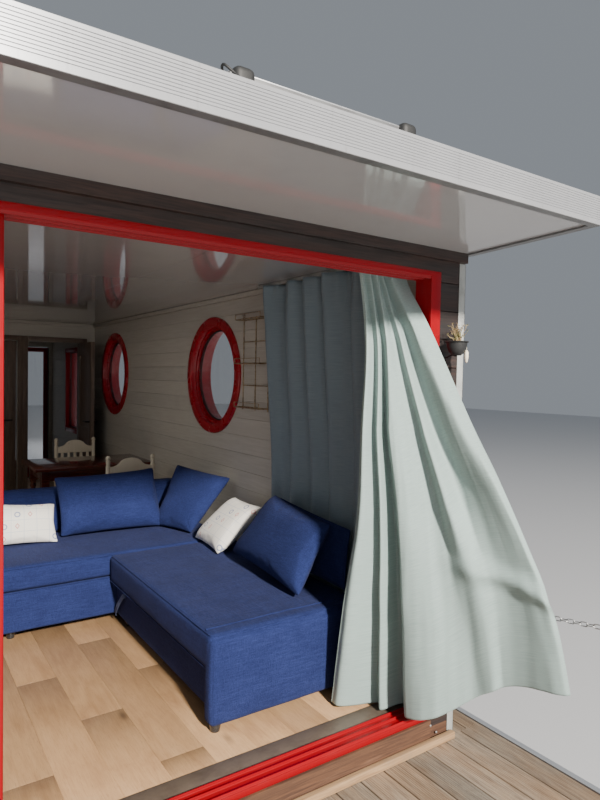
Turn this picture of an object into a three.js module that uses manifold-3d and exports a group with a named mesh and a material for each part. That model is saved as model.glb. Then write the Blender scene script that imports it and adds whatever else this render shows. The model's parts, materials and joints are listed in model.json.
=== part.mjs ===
// Houseboat: a timber-clad cabin with a glazed sliding front on a deck carried by two floats.
// Millimetres, +Z up, -Y towards the bow terrace, +X towards the side with the curtain.
// The origin is under the middle of the boat, on the plane of the floats' flat bottoms.
import * as THREE from 'three';
import { RoundedBoxGeometry } from 'three/addons/geometries/RoundedBoxGeometry.js';
import { mergeVertices } from 'three/addons/utils/BufferGeometryUtils.js';
import Module from 'manifold-3d';

const wasm = await Module();
wasm.setup();

// Driving dimensions
const gap = 0.3;                 // between faces that rest on each other
const beam = 4380;
const terraceDepth = 2500;
const cabinLength = 7900;
const rearDeckDepth = 900;
const engineReach = 480;         // how far the engine stands out past the stern
const cabinWidth = 3956;
const wallThick = 143;
const floatHeight = 700;
const floatWidth = 1150;
const frameHeight = 100;
const boardStack = 48;           // bearers and boards together
const floorHeight = 135;         // cabin floor above the deck
const roofHeight = 2295;         // roof's underside above the deck, over the cabin
const roofThick = 100;
const roofRise = 22;             // the front overhang rises by this much to its edge
const overhang = 650;

// Levels and planes that follow from them
const totalLength = terraceDepth + cabinLength + rearDeckDepth + engineReach;
const bowY = -totalLength / 2;
const wallY = bowY + terraceDepth;             // outer face of the front wall
const rearY = wallY + cabinLength;             // outer face of the rear wall
const sternY = rearY + rearDeckDepth;          // rear edge of the deck
const frameTop = floatHeight + frameHeight;
const deckZ = frameTop + boardStack;
const floorZ = deckZ + floorHeight;
const roofZ = deckZ + roofHeight;
const halfBeam = beam / 2;
const halfCabin = cabinWidth / 2;
const innerX = halfCabin - wallThick;          // room side of the side walls
const frontWallThick = 100;
const rearWallThick = 100;

const finishes = {
  hull: [0x4a5258, 0.55, 0.6], steel: [0x8b9094, 0.5, 0.8], deckWood: [0x8d7d6b, 0.8, 0],
  rawPine: [0xc9ad84, 0.8, 0], cladding: [0x2f2723, 0.65, 0], panelWhite: [0xe4e6e6, 0.2, 0],
  alloy: [0xd4d7d9, 0.35, 0.8], red: [0xb3101f, 0.3, 0.1], glass: [0xbfd0d4, 0.05, 0],
  oak: [0xb08a62, 0.55, 0], cream: [0xd8d2c4, 0.6, 0], brownDoor: [0x5a463a, 0.55, 0],
  blueFabric: [0x1f3064, 0.95, 0], whiteFabric: [0xe6e2d8, 0.95, 0], curtain: [0x9fb2b3, 0.9, 0],
  mahogany: [0x4a1c16, 0.3, 0], chairPaint: [0xe4dcc6, 0.45, 0], galvanised: [0xa7abad, 0.45, 0.9],
  solar: [0x10141e, 0.15, 0.2], blackPlastic: [0x15171a, 0.6, 0], engine: [0x1c1e21, 0.35, 0.3],
  wire: [0xb9a98c, 0.4, 0.7],
};

const boat = new THREE.Group();

// Each mesh gets a material of its own from the table above.
function add(name, geometry, finish) {
  const [color, roughness, metalness] = finishes[finish];
  const mesh = new THREE.Mesh(geometry, new THREE.MeshStandardMaterial({ color, roughness, metalness }));
  mesh.name = name;
  boat.add(mesh);
  return mesh;
}

function toSolid(geometry) {
  const bare = geometry.clone();
  bare.deleteAttribute('normal');
  bare.deleteAttribute('uv');
  const merged = mergeVertices(bare, 1e-3);
  return new wasm.Manifold(new wasm.Mesh({
    numProp: 3,
    vertProperties: merged.attributes.position.array,
    triVerts: new Uint32Array(merged.index.array),
  }));
}

function toGeometry(manifold) {
  const result = manifold.getMesh();
  const geometry = new THREE.BufferGeometry();
  geometry.setAttribute('position', new THREE.BufferAttribute(new Float32Array(result.vertProperties), 3));
  geometry.setIndex(new THREE.BufferAttribute(new Uint32Array(result.triVerts), 1));
  return geometry;
}

function join(...geometries) {
  return toGeometry(geometries.map(toSolid).reduce((sum, next) => sum.add(next)));
}

function cut(body, ...tools) {
  return toGeometry(tools.map(toSolid).reduce((rest, tool) => rest.subtract(tool), toSolid(body)));
}

// A box from its limits along x, y and z.
function slab([x0, x1], [y0, y1], [z0, z1]) {
  return new THREE.BoxGeometry(x1 - x0, y1 - y0, z1 - z0)
    .translate((x0 + x1) / 2, (y0 + y1) / 2, (z0 + z1) / 2);
}

// An outline in the (y, z) plane, pulled along x from x0 to x1.
function alongX(outline, x0, x1, options = {}) {
  const basis = new THREE.Matrix4().makeBasis(
    new THREE.Vector3(0, 1, 0), new THREE.Vector3(0, 0, 1), new THREE.Vector3(1, 0, 0));
  const settings = { depth: x1 - x0, bevelEnabled: false, curveSegments: 8, ...options };
  return new THREE.ExtrudeGeometry(outline, settings)
    .applyMatrix4(basis).translate(x0, 0, 0);
}

// An outline in the (x, z) plane, pulled along y from y0 to y1.
function alongY(outline, y0, y1, options = {}) {
  const basis = new THREE.Matrix4().makeBasis(
    new THREE.Vector3(-1, 0, 0), new THREE.Vector3(0, 0, 1), new THREE.Vector3(0, 1, 0));
  const settings = { depth: y1 - y0, bevelEnabled: false, curveSegments: 8, ...options };
  return new THREE.ExtrudeGeometry(outline, settings)
    .applyMatrix4(basis).translate(0, y0, 0);
}

// An outline in the (x, y) plane, pulled up from z0 to z1.
function upwards(outline, z0, z1, options = {}) {
  const settings = { depth: z1 - z0, bevelEnabled: false, curveSegments: 8, ...options };
  return new THREE.ExtrudeGeometry(outline, settings)
    .translate(0, 0, z0);
}

function polygon(points) {
  return new THREE.Shape(points.map(([a, b]) => new THREE.Vector2(a, b)));
}

function rod(from, to, radius, sides = 10) {
  const start = new THREE.Vector3(...from);
  const along = new THREE.Vector3(...to).sub(start);
  const upright = new THREE.Vector3(0, 1, 0);
  const turn = new THREE.Quaternion().setFromUnitVectors(upright, along.clone().normalize());
  return new THREE.CylinderGeometry(radius, radius, along.length(), sides)
    .translate(0, along.length() / 2, 0).applyQuaternion(turn).translate(...from);
}

// Mirrors a shape to the other side of the boat and turns its faces out again.
function mirrored(geometry) {
  const flipped = (geometry.index ? geometry.toNonIndexed() : geometry.clone()).scale(-1, 1, 1);
  const position = flipped.attributes.position;
  const points = position.array;
  for (let i = 0; i < points.length; i += 9) {
    for (let k = 0; k < 3; k += 1) {
      [points[i + 3 + k], points[i + 6 + k]] = [points[i + 6 + k], points[i + 3 + k]];
    }
  }
  return flipped;
}

// Floats: flat-bottomed boxes with a raked bow and chamfered chines.
const floatInset = 60;
const floatChamfer = 50;
function floatHull() {
  const outline = new THREE.Shape();
  const nose = bowY + floatInset;
  const tail = sternY - floatInset;
  outline.moveTo(nose + 760, 0);
  outline.lineTo(tail - 200, 0);
  outline.lineTo(tail, 240);
  outline.lineTo(tail, floatHeight);
  outline.lineTo(nose, floatHeight);
  outline.lineTo(nose, floatHeight - 180);
  outline.quadraticCurveTo(nose + 90, 90, nose + 760, 0);
  const inner = halfBeam - floatInset - floatWidth;
  return alongX(outline, inner + floatChamfer, inner + floatWidth - floatChamfer, {
    bevelEnabled: true, bevelThickness: floatChamfer, bevelSize: floatChamfer,
    bevelOffset: -floatChamfer, bevelSegments: 1, curveSegments: 6,
  });
}
add('float_port', floatHull(), 'hull');
add('float_starboard', mirrored(floatHull()), 'hull');

// Deck frame: channels along the boat and cross beams, one grid with open fields.
const frameBar = 60;
const frameInset = 30;
const crossFields = 11;
const channelX = [-(halfBeam - frameInset), -1000, 0, 1000, halfBeam - frameInset];
function deckFrame() {
  const y0 = bowY + frameInset;
  const y1 = sternY - frameInset;
  const pitch = (y1 - y0 - frameBar) / crossFields;
  const fields = [];
  const last = channelX.length - 2;
  for (let i = 0; i <= last; i += 1) {
    for (let k = 0; k < crossFields; k += 1) {
      const left = channelX[i] + frameBar / (i === 0 ? 1 : 2);
      const right = channelX[i + 1] - frameBar / (i === last ? 1 : 2);
      const low = y0 + frameBar + k * pitch;
      fields.push(slab([left, right], [low, low + pitch - frameBar], [0, 2 * frameTop]));
    }
  }
  return cut(slab([channelX[0], channelX[last + 1]], [y0, y1], [floatHeight + gap, frameTop]), ...fields);
}
add('deck_frame', deckFrame(), 'steel');

// Deck boards run along the boat, with dark gaps between them, on a thin carrier.
const trimWidth = 30;
const boardFieldX = halfBeam - trimWidth;
const boardCount = 33;
const boardPitch = (2 * boardFieldX) / boardCount;
const boardGap = 7;
const boardThick = 24;
function boards([x0, x1], [y0, y1]) {
  const outline = [[x1, frameTop + gap], [x0, frameTop + gap]];
  const carrier = deckZ - boardThick;
  outline.push([x0, carrier]);
  for (let i = 0; i < boardCount; i += 1) {
    const left = Math.max(-boardFieldX + i * boardPitch + boardGap / 2, x0);
    const right = Math.min(-boardFieldX + (i + 1) * boardPitch - boardGap / 2, x1);
    if (right - left < 20) continue;
    if (left > x0) outline.push([left, carrier]);
    outline.push([left, deckZ], [right, deckZ]);
    if (right < x1) outline.push([right, carrier]);
  }
  outline.push([x1, carrier]);
  return alongY(polygon(outline.map(([x, z]) => [-x, z])), y0, y1);
}
const sillBoardThick = 12;
const deckEndY = wallY - sillBoardThick - gap;
const edgeX = boardFieldX - 1;
add('deck_front', boards([-edgeX, edgeX], [bowY + trimWidth + boardGap, deckEndY]), 'deckWood');
add('deck_rear', boards([-edgeX, edgeX], [rearY + 3, sternY - trimWidth - boardGap]), 'deckWood');
const sideDeck = () => boards([halfCabin + 3, edgeX], [deckEndY + 3, rearY]);
add('deck_side_port', sideDeck(), 'deckWood');
add('deck_side_starboard', mirrored(sideDeck()), 'deckWood');

// Edge trim: a metal strip round the deck, with a mooring cleat near each corner.
const trimRise = 4;
const trimLow = frameTop - 60;
function cleat(x, y) {
  const height = deckZ + 70;
  return [
    slab([x - 14, x + 14], [y - 80, y + 80], [deckZ - 4, deckZ + 12]),
    rod([x, y - 35, deckZ + 5], [x, y - 35, height], 10, 8),
    rod([x, y + 35, deckZ + 5], [x, y + 35, height], 10, 8),
    rod([x, y - 110, height], [x, y + 110, height], 11, 8),
  ];
}
function edgeTrim() {
  const outside = slab([-halfBeam, halfBeam], [bowY, sternY], [trimLow, deckZ + trimRise]);
  const inside = slab([-boardFieldX, boardFieldX], [bowY + trimWidth, sternY - trimWidth],
    [trimLow - 50, deckZ + 50]);
  const x = halfBeam - trimWidth / 2;
  const cleats = [bowY + 500, sternY - 400].flatMap((y) => [...cleat(x, y), ...cleat(-x, y)]);
  return join(cut(outside, inside), ...cleats);
}
const frameClear = slab([-halfBeam + frameInset - gap, halfBeam - frameInset + gap],
  [bowY + frameInset - gap, sternY - frameInset + gap], [frameTop - 100, frameTop + gap]);
add('deck_edge_trim', cut(edgeTrim(), frameClear), 'alloy');

// Raw batten laid on the deck along the cabin's foot.
const batten = { half: 1955, front: wallY - 44, back: wallY - sillBoardThick - 3, top: deckZ + 34 };
add('deck_batten', slab([-batten.half, batten.half], [batten.front, batten.back], [deckZ + gap, batten.top]),
  'rawPine');

// Cabin floor
add('cabin_floor', slab([-innerX + gap, innerX - gap],
  [wallY + frontWallThick + gap, rearY - rearWallThick - gap], [frameTop + gap, floorZ]), 'oak');

// Front wall: boards and a crown round the opening of the sliding door, with a board under the sill.
const openingHalf = 1820;
const sillLow = deckZ + 115;
const headHigh = deckZ + 2196;
const crown = { depth: 25, low: deckZ + 2250, high: roofZ - gap, half: 1972 };
const eye = { x: 1915, z: deckZ + 720, reach: 34, radius: 7 };   // holds the guard chain's end
const chainHalf = 5;
function frontWall() {
  const wall = slab([-halfCabin, halfCabin], [wallY, wallY + frontWallThick], [frameTop + gap, crown.high]);
  const crownBoard = slab([-crown.half, crown.half], [wallY - crown.depth, wallY + 20],
    [crown.low, crown.high]);
  const board = slab([-openingHalf, openingHalf], [wallY - sillBoardThick, wallY + 20],
    [frameTop + gap, sillLow - gap]);
  const opening = slab([-openingHalf - gap, openingHalf + gap], [wallY - 100, wallY + 200],
    [sillLow - gap, headHigh + gap]);
  const eyes = [-eye.x, eye.x].map((x) =>
    rod([x, wallY + 10, eye.z], [x, wallY - eye.reach, eye.z], eye.radius, 10));
  return cut(join(wall, crownBoard, board, ...eyes), opening);
}
add('front_wall', frontWall(), 'cladding');

// Side walls: two round windows in the saloon and one upright window in the rear room.
const portholes = { firstY: wallY + 2350, secondY: wallY + 4785, z: deckZ + 1710, ringRadius: 450,
  reveal: 378 };
const sleeveRadius = 398;
const sideWindow = { y0: wallY + 6300, y1: wallY + 7000, z0: deckZ + 900, z1: deckZ + 2050 };
const portholeSides = 28;
function sideWall() {
  const wall = slab([innerX, halfCabin],
    [wallY + frontWallThick + gap, rearY - rearWallThick - gap], [frameTop + gap, crown.high]);
  const holes = [portholes.firstY, portholes.secondY].map((y) =>
    new THREE.CylinderGeometry(sleeveRadius + gap, sleeveRadius + gap, 400, portholeSides)
      .rotateZ(Math.PI / 2).translate(halfCabin, y, portholes.z));
  const window = slab([innerX - 50, halfCabin + 50], [sideWindow.y0, sideWindow.y1],
    [sideWindow.z0, sideWindow.z1]);
  return cut(wall, ...holes, window);
}
add('side_wall_port', sideWall(), 'cladding');
add('side_wall_starboard', mirrored(sideWall()), 'cladding');

// Hinges: three knuckles on a pin line that stands proud of the faces of leaf and wall.
const leafGap = 5;
const freeGap = 9;                             // at the swinging edge of a hinged leaf
const knuckle = { radius: 8, height: 32, proud: 9, flap: 34, slack: 0.5, levels: [230, 1640] };
// The leaf lies towards side (1 or -1) of the pin, and the pin stands out towards out (1 or -1) along y.
function knuckles(pin, part, faceDepth) {
  const pitch = knuckle.height + knuckle.slack;
  const towards = part === 'leaf' ? pin.side : -pin.side;
  return knuckle.levels.flatMap((level) => (part === 'leaf' ? [1] : [0, 2]).flatMap((order) => {
    const z = [floorZ + level + order * pitch, floorZ + level + order * pitch + knuckle.height];
    const flapX = [pin.x, pin.x + towards * knuckle.flap].sort((a, b) => a - b);
    const flapY = [pin.y - pin.out * (faceDepth + 2), pin.y - pin.out * 4].sort((a, b) => a - b);
    return [rod([pin.x, pin.y, z[0]], [pin.x, pin.y, z[1]], knuckle.radius, 10), slab(flapX, flapY, z)];
  }));
}
function hingePin(door, side, faceY, out) {
  const jamb = side > 0 ? door.x0 : door.x1;
  return { x: jamb + side * leafGap / 2, y: faceY + out * knuckle.proud, side, out };
}

// Rear wall: a glazed door on the port side.
const rearDoor = { x0: 1060, x1: 1780, high: floorZ + 1955 };
const rearPin = hingePin(rearDoor, -1, rearY, 1);
function rearWall() {
  const wall = slab([-halfCabin, halfCabin], [rearY - rearWallThick, rearY], [frameTop + gap, crown.high]);
  const crownBoard = slab([-crown.half, crown.half], [rearY - 20, rearY + crown.depth],
    [crown.low, crown.high]);
  const opening = slab([rearDoor.x0, rearDoor.x1], [rearY - 200, rearY + 200], [floorZ, rearDoor.high]);
  return join(cut(join(wall, crownBoard), opening), ...knuckles(rearPin, 'wall', knuckle.proud));
}
add('rear_wall', rearWall(), 'cladding');

// Partition across the rear of the saloon, with two doorways.
const partition = { y: wallY + 5573, thick: 60 };
const openDoor = { x0: 1080, x1: 1680, high: floorZ + 1930 };
const shutDoor = { x0: 330, x1: 970, high: floorZ + 1930 };
const openPin = hingePin(openDoor, -1, partition.y, -1);
const shutPin = hingePin(shutDoor, 1, partition.y + partition.thick, 1);
function partitionWall() {
  const wall = slab([-innerX + gap, innerX - gap], [partition.y, partition.y + partition.thick],
    [floorZ + gap, crown.high]);
  const openings = [openDoor, shutDoor].map((door) =>
    slab([door.x0, door.x1], [partition.y - 50, partition.y + 100], [floorZ - 50, door.high]));
  return join(cut(wall, ...openings), ...knuckles(openPin, 'wall', knuckle.proud),
    ...knuckles(shutPin, 'wall', knuckle.proud));
}
add('partition_wall', partitionWall(), 'cream');

// Roof: one sandwich panel, flat over the cabin, its front overhang rising to the edge.
const roofHalf = 2000;
const fasciaThick = 20;
const roofFrontY = wallY - overhang;
const roofRearY = rearY + overhang;
function roofOutline(inset, drop, rise = 0) {
  return polygon([
    [roofFrontY + inset, roofZ + roofRise - drop], [wallY - 30, roofZ - drop],
    [roofRearY - inset, roofZ - drop],
    [roofRearY - inset, roofZ + roofThick + rise], [wallY - 30, roofZ + roofThick + rise],
    [roofFrontY + inset, roofZ + roofRise + roofThick + rise],
  ]);
}
add('roof_panel', alongX(roofOutline(fasciaThick + gap, 0), -roofHalf + fasciaThick + gap,
  roofHalf - fasciaThick - gap), 'panelWhite');

// Fascia: grooved profiles round the roof, with a narrow lip below.
const grooves = { count: 9, depth: 2.5, width: 4, firstZ: 12, pitch: 7.5 };
const lip = { drop: 8, width: 34 };
function fasciaSection(faceY, outward, z0) {
  const points = [[faceY - outward * fasciaThick, z0 - 1], [faceY - outward * lip.width, z0 - 1],
    [faceY - outward * lip.width, z0 - lip.drop], [faceY, z0 - lip.drop]];
  for (let i = 0; i < grooves.count; i += 1) {
    const z = z0 + grooves.firstZ + i * grooves.pitch;
    points.push([faceY, z], [faceY - outward * grooves.depth, z + 1],
      [faceY - outward * grooves.depth, z + grooves.width - 1], [faceY, z + grooves.width]);
  }
  points.push([faceY, z0 + roofThick + 2], [faceY - outward * fasciaThick, z0 + roofThick + 2]);
  return polygon(outward < 0 ? points : points.reverse());
}
function fascia() {
  const front = alongX(fasciaSection(roofFrontY, -1, roofZ + roofRise), -roofHalf, roofHalf);
  const rear = alongX(fasciaSection(roofRearY, 1, roofZ), -roofHalf, roofHalf);
  const side = (x) => alongX(roofOutline(1, lip.drop, 2), x, x + fasciaThick);
  return join(front, rear, side(-roofHalf), side(roofHalf - fasciaThick));
}
add('roof_fascia', fascia(), 'alloy');

// Door frame: red jambs, head and a ribbed sill with two tracks.
const frame = { jamb: 60, head: 35, sill: 25, rib: 12, ribWidth: 6 };
const tracks = [wallY + 18, wallY + 56];       // near faces of the two leaves
const leafThick = 28;
const ribsY = [wallY + 4, wallY + 49, wallY + 89];
function doorFrame() {
  const y = [wallY - 2, wallY + frontWallThick];
  const outside = slab([-openingHalf, openingHalf], y, [sillLow, headHigh]);
  const inside = slab([-openingHalf + frame.jamb, openingHalf - frame.jamb], [wallY - 50, wallY + 200],
    [sillLow + frame.sill, headHigh - frame.head + frame.rib]);
  const ribs = ribsY.flatMap((ribY) => [
    slab([-openingHalf + 30, openingHalf - 30], [ribY, ribY + frame.ribWidth],
      [sillLow + 5, sillLow + frame.sill + frame.rib]),
    slab([-openingHalf + 30, openingHalf - 30], [ribY, ribY + frame.ribWidth],
      [headHigh - frame.head, headHigh - 5]),
  ]);
  return join(cut(outside, inside), ...ribs);
}
add('door_frame', doorFrame(), 'red');

// Sliding leaves: both stand over the starboard half, so the port half is open.
const leafLow = sillLow + frame.sill + gap;
const leafHigh = headHigh - frame.head + frame.rib - 6;
const stile = 62;
const clearHalf = openingHalf - frame.jamb;
const leafWidth = clearHalf;
const leaves = [
  { name: 'fixed', x0: -clearHalf + gap, y0: tracks[1] },
  { name: 'sliding', x0: -clearHalf + 6, y0: tracks[0] },
];
for (const leaf of leaves) {
  const x1 = leaf.x0 + leafWidth;
  const rim = slab([leaf.x0, x1], [leaf.y0, leaf.y0 + leafThick], [leafLow, leafHigh]);
  const pane = [[leaf.x0 + stile, x1 - stile], [leafLow + stile, leafHigh - stile]];
  add(`door_leaf_${leaf.name}`, cut(rim, slab(pane[0], [leaf.y0 - 50, leaf.y0 + 100], pane[1])), 'red');
  const middle = leaf.y0 + leafThick / 2;
  add(`door_glass_${leaf.name}`, slab([pane[0][0] + gap, pane[0][1] - gap], [middle - 6, middle + 6],
    [pane[1][0] + gap, pane[1][1] - gap]), 'glass');
}

// Portholes: a flange on each side of the wall, a sleeve, and a ledge that holds the pane, in one piece.
const flange = 22;
function porthole() {
  const r = portholes.ringRadius;
  const inner = portholes.reveal;
  const ledge = inner - 26;
  // the hole in the wall is a little larger, so the facets of the sleeve stay inside it
  const profile = [
    [inner, -flange], [r - 10, -flange], [r, -flange + 10], [r, -gap], [sleeveRadius, -gap],
    [sleeveRadius, wallThick + gap], [r, wallThick + gap], [r, wallThick + flange - 10],
    [r - 10, wallThick + flange], [inner, wallThick + flange], [inner, 72], [ledge, 72], [ledge, 61], [0, 61],
    [0, 51], [ledge, 51], [ledge, 40], [inner, 40], [inner, -flange],
  ].map(([radius, depth]) => new THREE.Vector2(radius, depth));
  return new THREE.LatheGeometry(profile, portholeSides).rotateZ(-Math.PI / 2);
}
for (const [place, y] of [['fore', portholes.firstY], ['aft', portholes.secondY]]) {
  const window = porthole().translate(innerX, y, portholes.z);
  add(`porthole_port_${place}`, window, 'red');
  add(`porthole_starboard_${place}`, mirrored(window), 'red');
}

// Upright side windows: a red frame with a pane across its middle, in one piece.
function sideWindowUnit() {
  const w = sideWindow;
  const rim = slab([innerX - 10, halfCabin + 14], [w.y0 + gap, w.y1 - gap], [w.z0 + gap, w.z1 - gap]);
  const hole = (x0, x1) => slab([x0, x1], [w.y0 + 55, w.y1 - 55], [w.z0 + 55, w.z1 - 55]);
  return cut(rim, hole(innerX - 50, innerX + 48), hole(innerX + 60, halfCabin + 50));
}
add('side_window_port', sideWindowUnit(), 'red');
add('side_window_starboard', mirrored(sideWindowUnit()), 'red');

// Hinged doors: a leaf with rails, its handle plates on both faces.
const leafRecess = 2;                          // the leaf's face lies this far inside the wall's face
const leafFaceDepth = knuckle.proud + leafRecess;
const panelLeafThick = 40;
function leafSpan(door, side) {
  const [hinged, free] = [leafGap, freeGap];
  return side > 0 ? [door.x0 + hinged, door.x1 - free] : [door.x0 + free, door.x1 - hinged];
}
function panelLeaf(door, side, [y0, y1]) {
  const leaf = slab(leafSpan(door, side), [y0, y1], [floorZ + leafGap, door.high - leafGap]);
  const middle = (door.x0 + door.x1) / 2;
  const half = (door.x1 - door.x0) / 2 - 110;
  const panels = [[170, 820], [960, 1780]].flatMap(([low, high]) => [
    slab([middle - half, middle + half], [y0 - 10, y0 + 8], [floorZ + low, floorZ + high]),
    slab([middle - half, middle + half], [y1 - 8, y1 + 10], [floorZ + low, floorZ + high]),
  ]);
  return cut(leaf, ...panels);
}
function leverHandle(x, [y0, y1], towards) {
  const z = floorZ + 1030;
  const sides = [[y0 + 3, y0 - 45], [y1 - 3, y1 + 45]];
  return sides.flatMap(([root, end]) => [
    rod([x, root, z], [x, end, z], 9, 8),
    slab([Math.min(x - 9, x + towards * 120), Math.max(x + 9, x + towards * 120)],
      [Math.min(root, end) + (end < root ? 0 : 36), Math.max(root, end) - (end < root ? 36 : 0)], [z - 8, z + 8]),
  ]);
}
const shutFace = partition.y + partition.thick - leafRecess;
const shutLeafY = [shutFace - panelLeafThick, shutFace];
add('partition_door_middle', join(panelLeaf(shutDoor, 1, shutLeafY),
  ...knuckles(shutPin, 'leaf', leafFaceDepth),
  ...leverHandle(shutDoor.x1 - 60, shutLeafY, -1)), 'brownDoor');

// The open leaf is made shut and then turned about its pin, into the saloon.
const openLeafY = [partition.y + leafRecess, partition.y + leafRecess + panelLeafThick];
const openLeaf = join(panelLeaf(openDoor, -1, openLeafY), ...knuckles(openPin, 'leaf', leafFaceDepth),
  ...leverHandle(openDoor.x0 + 60, openLeafY, 1))
  .translate(-openPin.x, -openPin.y, 0).rotateZ(Math.PI / 2).translate(openPin.x, openPin.y, 0);
add('partition_door_port', openLeaf, 'brownDoor');

// Rear door: a glazed leaf that opens out over the rear deck.
const rearLeafY = [rearY - leafRecess - 44, rearY - leafRecess];
const rearPane = { x0: 1140, x1: 1730 - 10, z0: deckZ + 400, z1: deckZ + 2020 };
const rearRim = slab(leafSpan(rearDoor, -1), rearLeafY, [floorZ + leafGap, rearDoor.high - leafGap]);
const paneSides = [[rearY - 200, rearY - 30], [rearY - 18, rearY + 100]];
const rearHoles = paneSides.map((y) => slab([rearPane.x0, rearPane.x1], y, [rearPane.z0, rearPane.z1]));
add('rear_door', join(cut(rearRim, ...rearHoles), ...knuckles(rearPin, 'leaf', leafFaceDepth),
  ...leverHandle(rearDoor.x0 + 50, rearLeafY, 1)), 'red');

// Closes two equal grids of points, the front one first, into one thin body.
function closedSheet(points, across, down) {
  const row = across + 1;
  const behind = points.length / 2;
  const faces = [];
  const quad = (a, b, c, d) => faces.push(a, b, c, a, c, d);
  for (let j = 0; j < down; j += 1) {
    for (let i = 0; i < across; i += 1) {
      const a = j * row + i;
      quad(a, a + 1, a + row + 1, a + row);
      quad(behind + a, behind + a + row, behind + a + row + 1, behind + a + 1);
    }
  }
  for (let i = 0; i < across; i += 1) {
    const low = down * row + i;
    quad(i, behind + i, behind + i + 1, i + 1);
    quad(low, low + 1, behind + low + 1, behind + low);
  }
  for (let j = 0; j < down; j += 1) {
    const left = j * row;
    const right = left + across;
    quad(left, left + row, behind + left + row, behind + left);
    quad(right, behind + right, behind + right + row, right + row);
  }
  const geometry = new THREE.BufferGeometry();
  geometry.setAttribute('position', new THREE.Float32BufferAttribute(points.flat(), 3));
  geometry.setIndex(faces);
  return geometry.toNonIndexed();
}

// Corner sofa: a long seat with a back, and a chaise along the port wall.
const seatTop = floorZ + 435;
const seatLow = floorZ + 58;
const backTop = floorZ + 735;
const seam = floorZ + 295;
const seamLap = 8;                         // the blocks above and below a seam lap by this much each
const softRadius = 24;
const sofa = { left: -500, chaiseX: 880, right: 1742, chaiseY: wallY + 385, frontY: wallY + 1830,
  backY: wallY + 2560, endY: wallY + 2730 };
const chaiseForm = { lip: floorZ + 272, recess: 45, front: 85, low: floorZ + 30 };
function softSlab([x0, x1], [y0, y1], [z0, z1], radius = softRadius) {
  return new RoundedBoxGeometry(x1 - x0, y1 - y0, z1 - z0, 2, radius)
    .translate((x0 + x1) / 2, (y0 + y1) / 2, (z0 + z1) / 2);
}
function foot(x, y) {
  return new THREE.CylinderGeometry(30, 20, seatLow - floorZ - gap + 10, 12).rotateX(Math.PI / 2)
    .translate(x, y, (floorZ + gap + seatLow + 10) / 2);
}
function longSeat() {
  const base = softSlab([sofa.left, sofa.right], [sofa.frontY, sofa.endY], [seatLow, seam + seamLap], 14);
  const seat = softSlab([sofa.left, sofa.right], [sofa.frontY, sofa.endY - 30], [seam - seamLap, seatTop]);
  const back = softSlab([sofa.left, sofa.right], [sofa.backY, sofa.endY], [seam, backTop], 45);
  const feet = [sofa.left + 90, 327, sofa.right - 90].flatMap((x) =>
    [foot(x, sofa.frontY + 90), foot(x, sofa.endY - 80)]);
  return join(base, seat, back, ...feet);
}
function chaise() {
  const span = [sofa.chaiseY, sofa.frontY - 4];
  const mattress = softSlab([sofa.chaiseX, sofa.right], span, [chaiseForm.lip, seatTop]);
  const front = softSlab([sofa.chaiseX + 1, sofa.right - 1], [span[0] + 1, span[0] + chaiseForm.front],
    [chaiseForm.low, chaiseForm.lip + 40]);
  const box = slab([sofa.chaiseX + chaiseForm.recess, sofa.right - 2], [span[0] + 30, span[1] - 3],
    [seatLow, chaiseForm.lip + 20]);
  const feet = [sofa.chaiseX + 80, sofa.right - 60].flatMap((x) =>
    [foot(x, sofa.chaiseY + 60), foot(x, sofa.frontY - 90)]);
  return join(mattress, front, box, ...feet);
}
add('sofa_long', longSeat(), 'blueFabric');
add('sofa_chaise', chaise(), 'blueFabric');

// Cushions: width, height and thickness, the middle of the lower edge, then lean and turn in degrees.
const cushionTable = [
  // name, finish, size [w, h, t], foot [x, y] from the front wall, lean, turn
  ['cushion_blue_back', 'blueFabric', [750, 450, 140], [1075, 2305], 18, 1],
  ['cushion_blue_corner', 'blueFabric', [520, 480, 110], [1474, 2285], 32, -86],
  ['cushion_blue_front', 'blueFabric', [750, 430, 120], [1448, 965], 22, -92],
  ['cushion_blue_side', 'blueFabric', [680, 430, 42], [1699, 850], 0, -90],
  ['cushion_white_left', 'whiteFabric', [440, 300, 90], [455, 2285], 30, -5],
  ['cushion_white_right', 'whiteFabric', [435, 400, 80], [1455, 1700], 46, -94],
];
// Two panels that meet at the rim, whose outline is a rectangle with rounded corners.
const pillow = { across: 10, up: 8, squareness: 7, rim: 6 };
function outlineReach(w, h, angle) {
  const power = pillow.squareness;
  const sum = (Math.abs(Math.cos(angle)) / (w / 2)) ** power + (Math.abs(Math.sin(angle)) / (h / 2)) ** power;
  return sum ** (-1 / power);
}
function cushion([w, h, t]) {
  const at = (i, j, side) => {
    const u = (2 * i) / pillow.across - 1;
    const v = (2 * j) / pillow.up - 1;
    const out = Math.max(Math.abs(u), Math.abs(v));
    const angle = Math.atan2(v * h, u * w);
    const reach = out * outlineReach(w, h, angle);
    const full = Math.sqrt((1 - u ** 4) * (1 - v ** 4));
    return [reach * Math.cos(angle), t / 2 + side * (pillow.rim / 2 + ((t - pillow.rim) / 2) * full),
      h / 2 + reach * Math.sin(angle)];
  };
  const row = pillow.across + 1;
  const behind = row * (pillow.up + 1);
  const points = [-1, 1].flatMap((side) => Array.from({ length: behind }, (_, k) =>
    at(k % row, Math.floor(k / row), side)));
  return closedSheet(points, pillow.across, pillow.up);
}
for (const [name, finish, size, [x, y], lean, turn] of cushionTable) {
  const body = cushion(size).rotateX(THREE.MathUtils.degToRad(-lean));
  body.computeBoundingBox();
  const mesh = add(name, body, finish);
  mesh.rotation.z = THREE.MathUtils.degToRad(turn);
  mesh.position.set(x, wallY + y, seatTop + gap - body.boundingBox.min.z);
}

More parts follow.
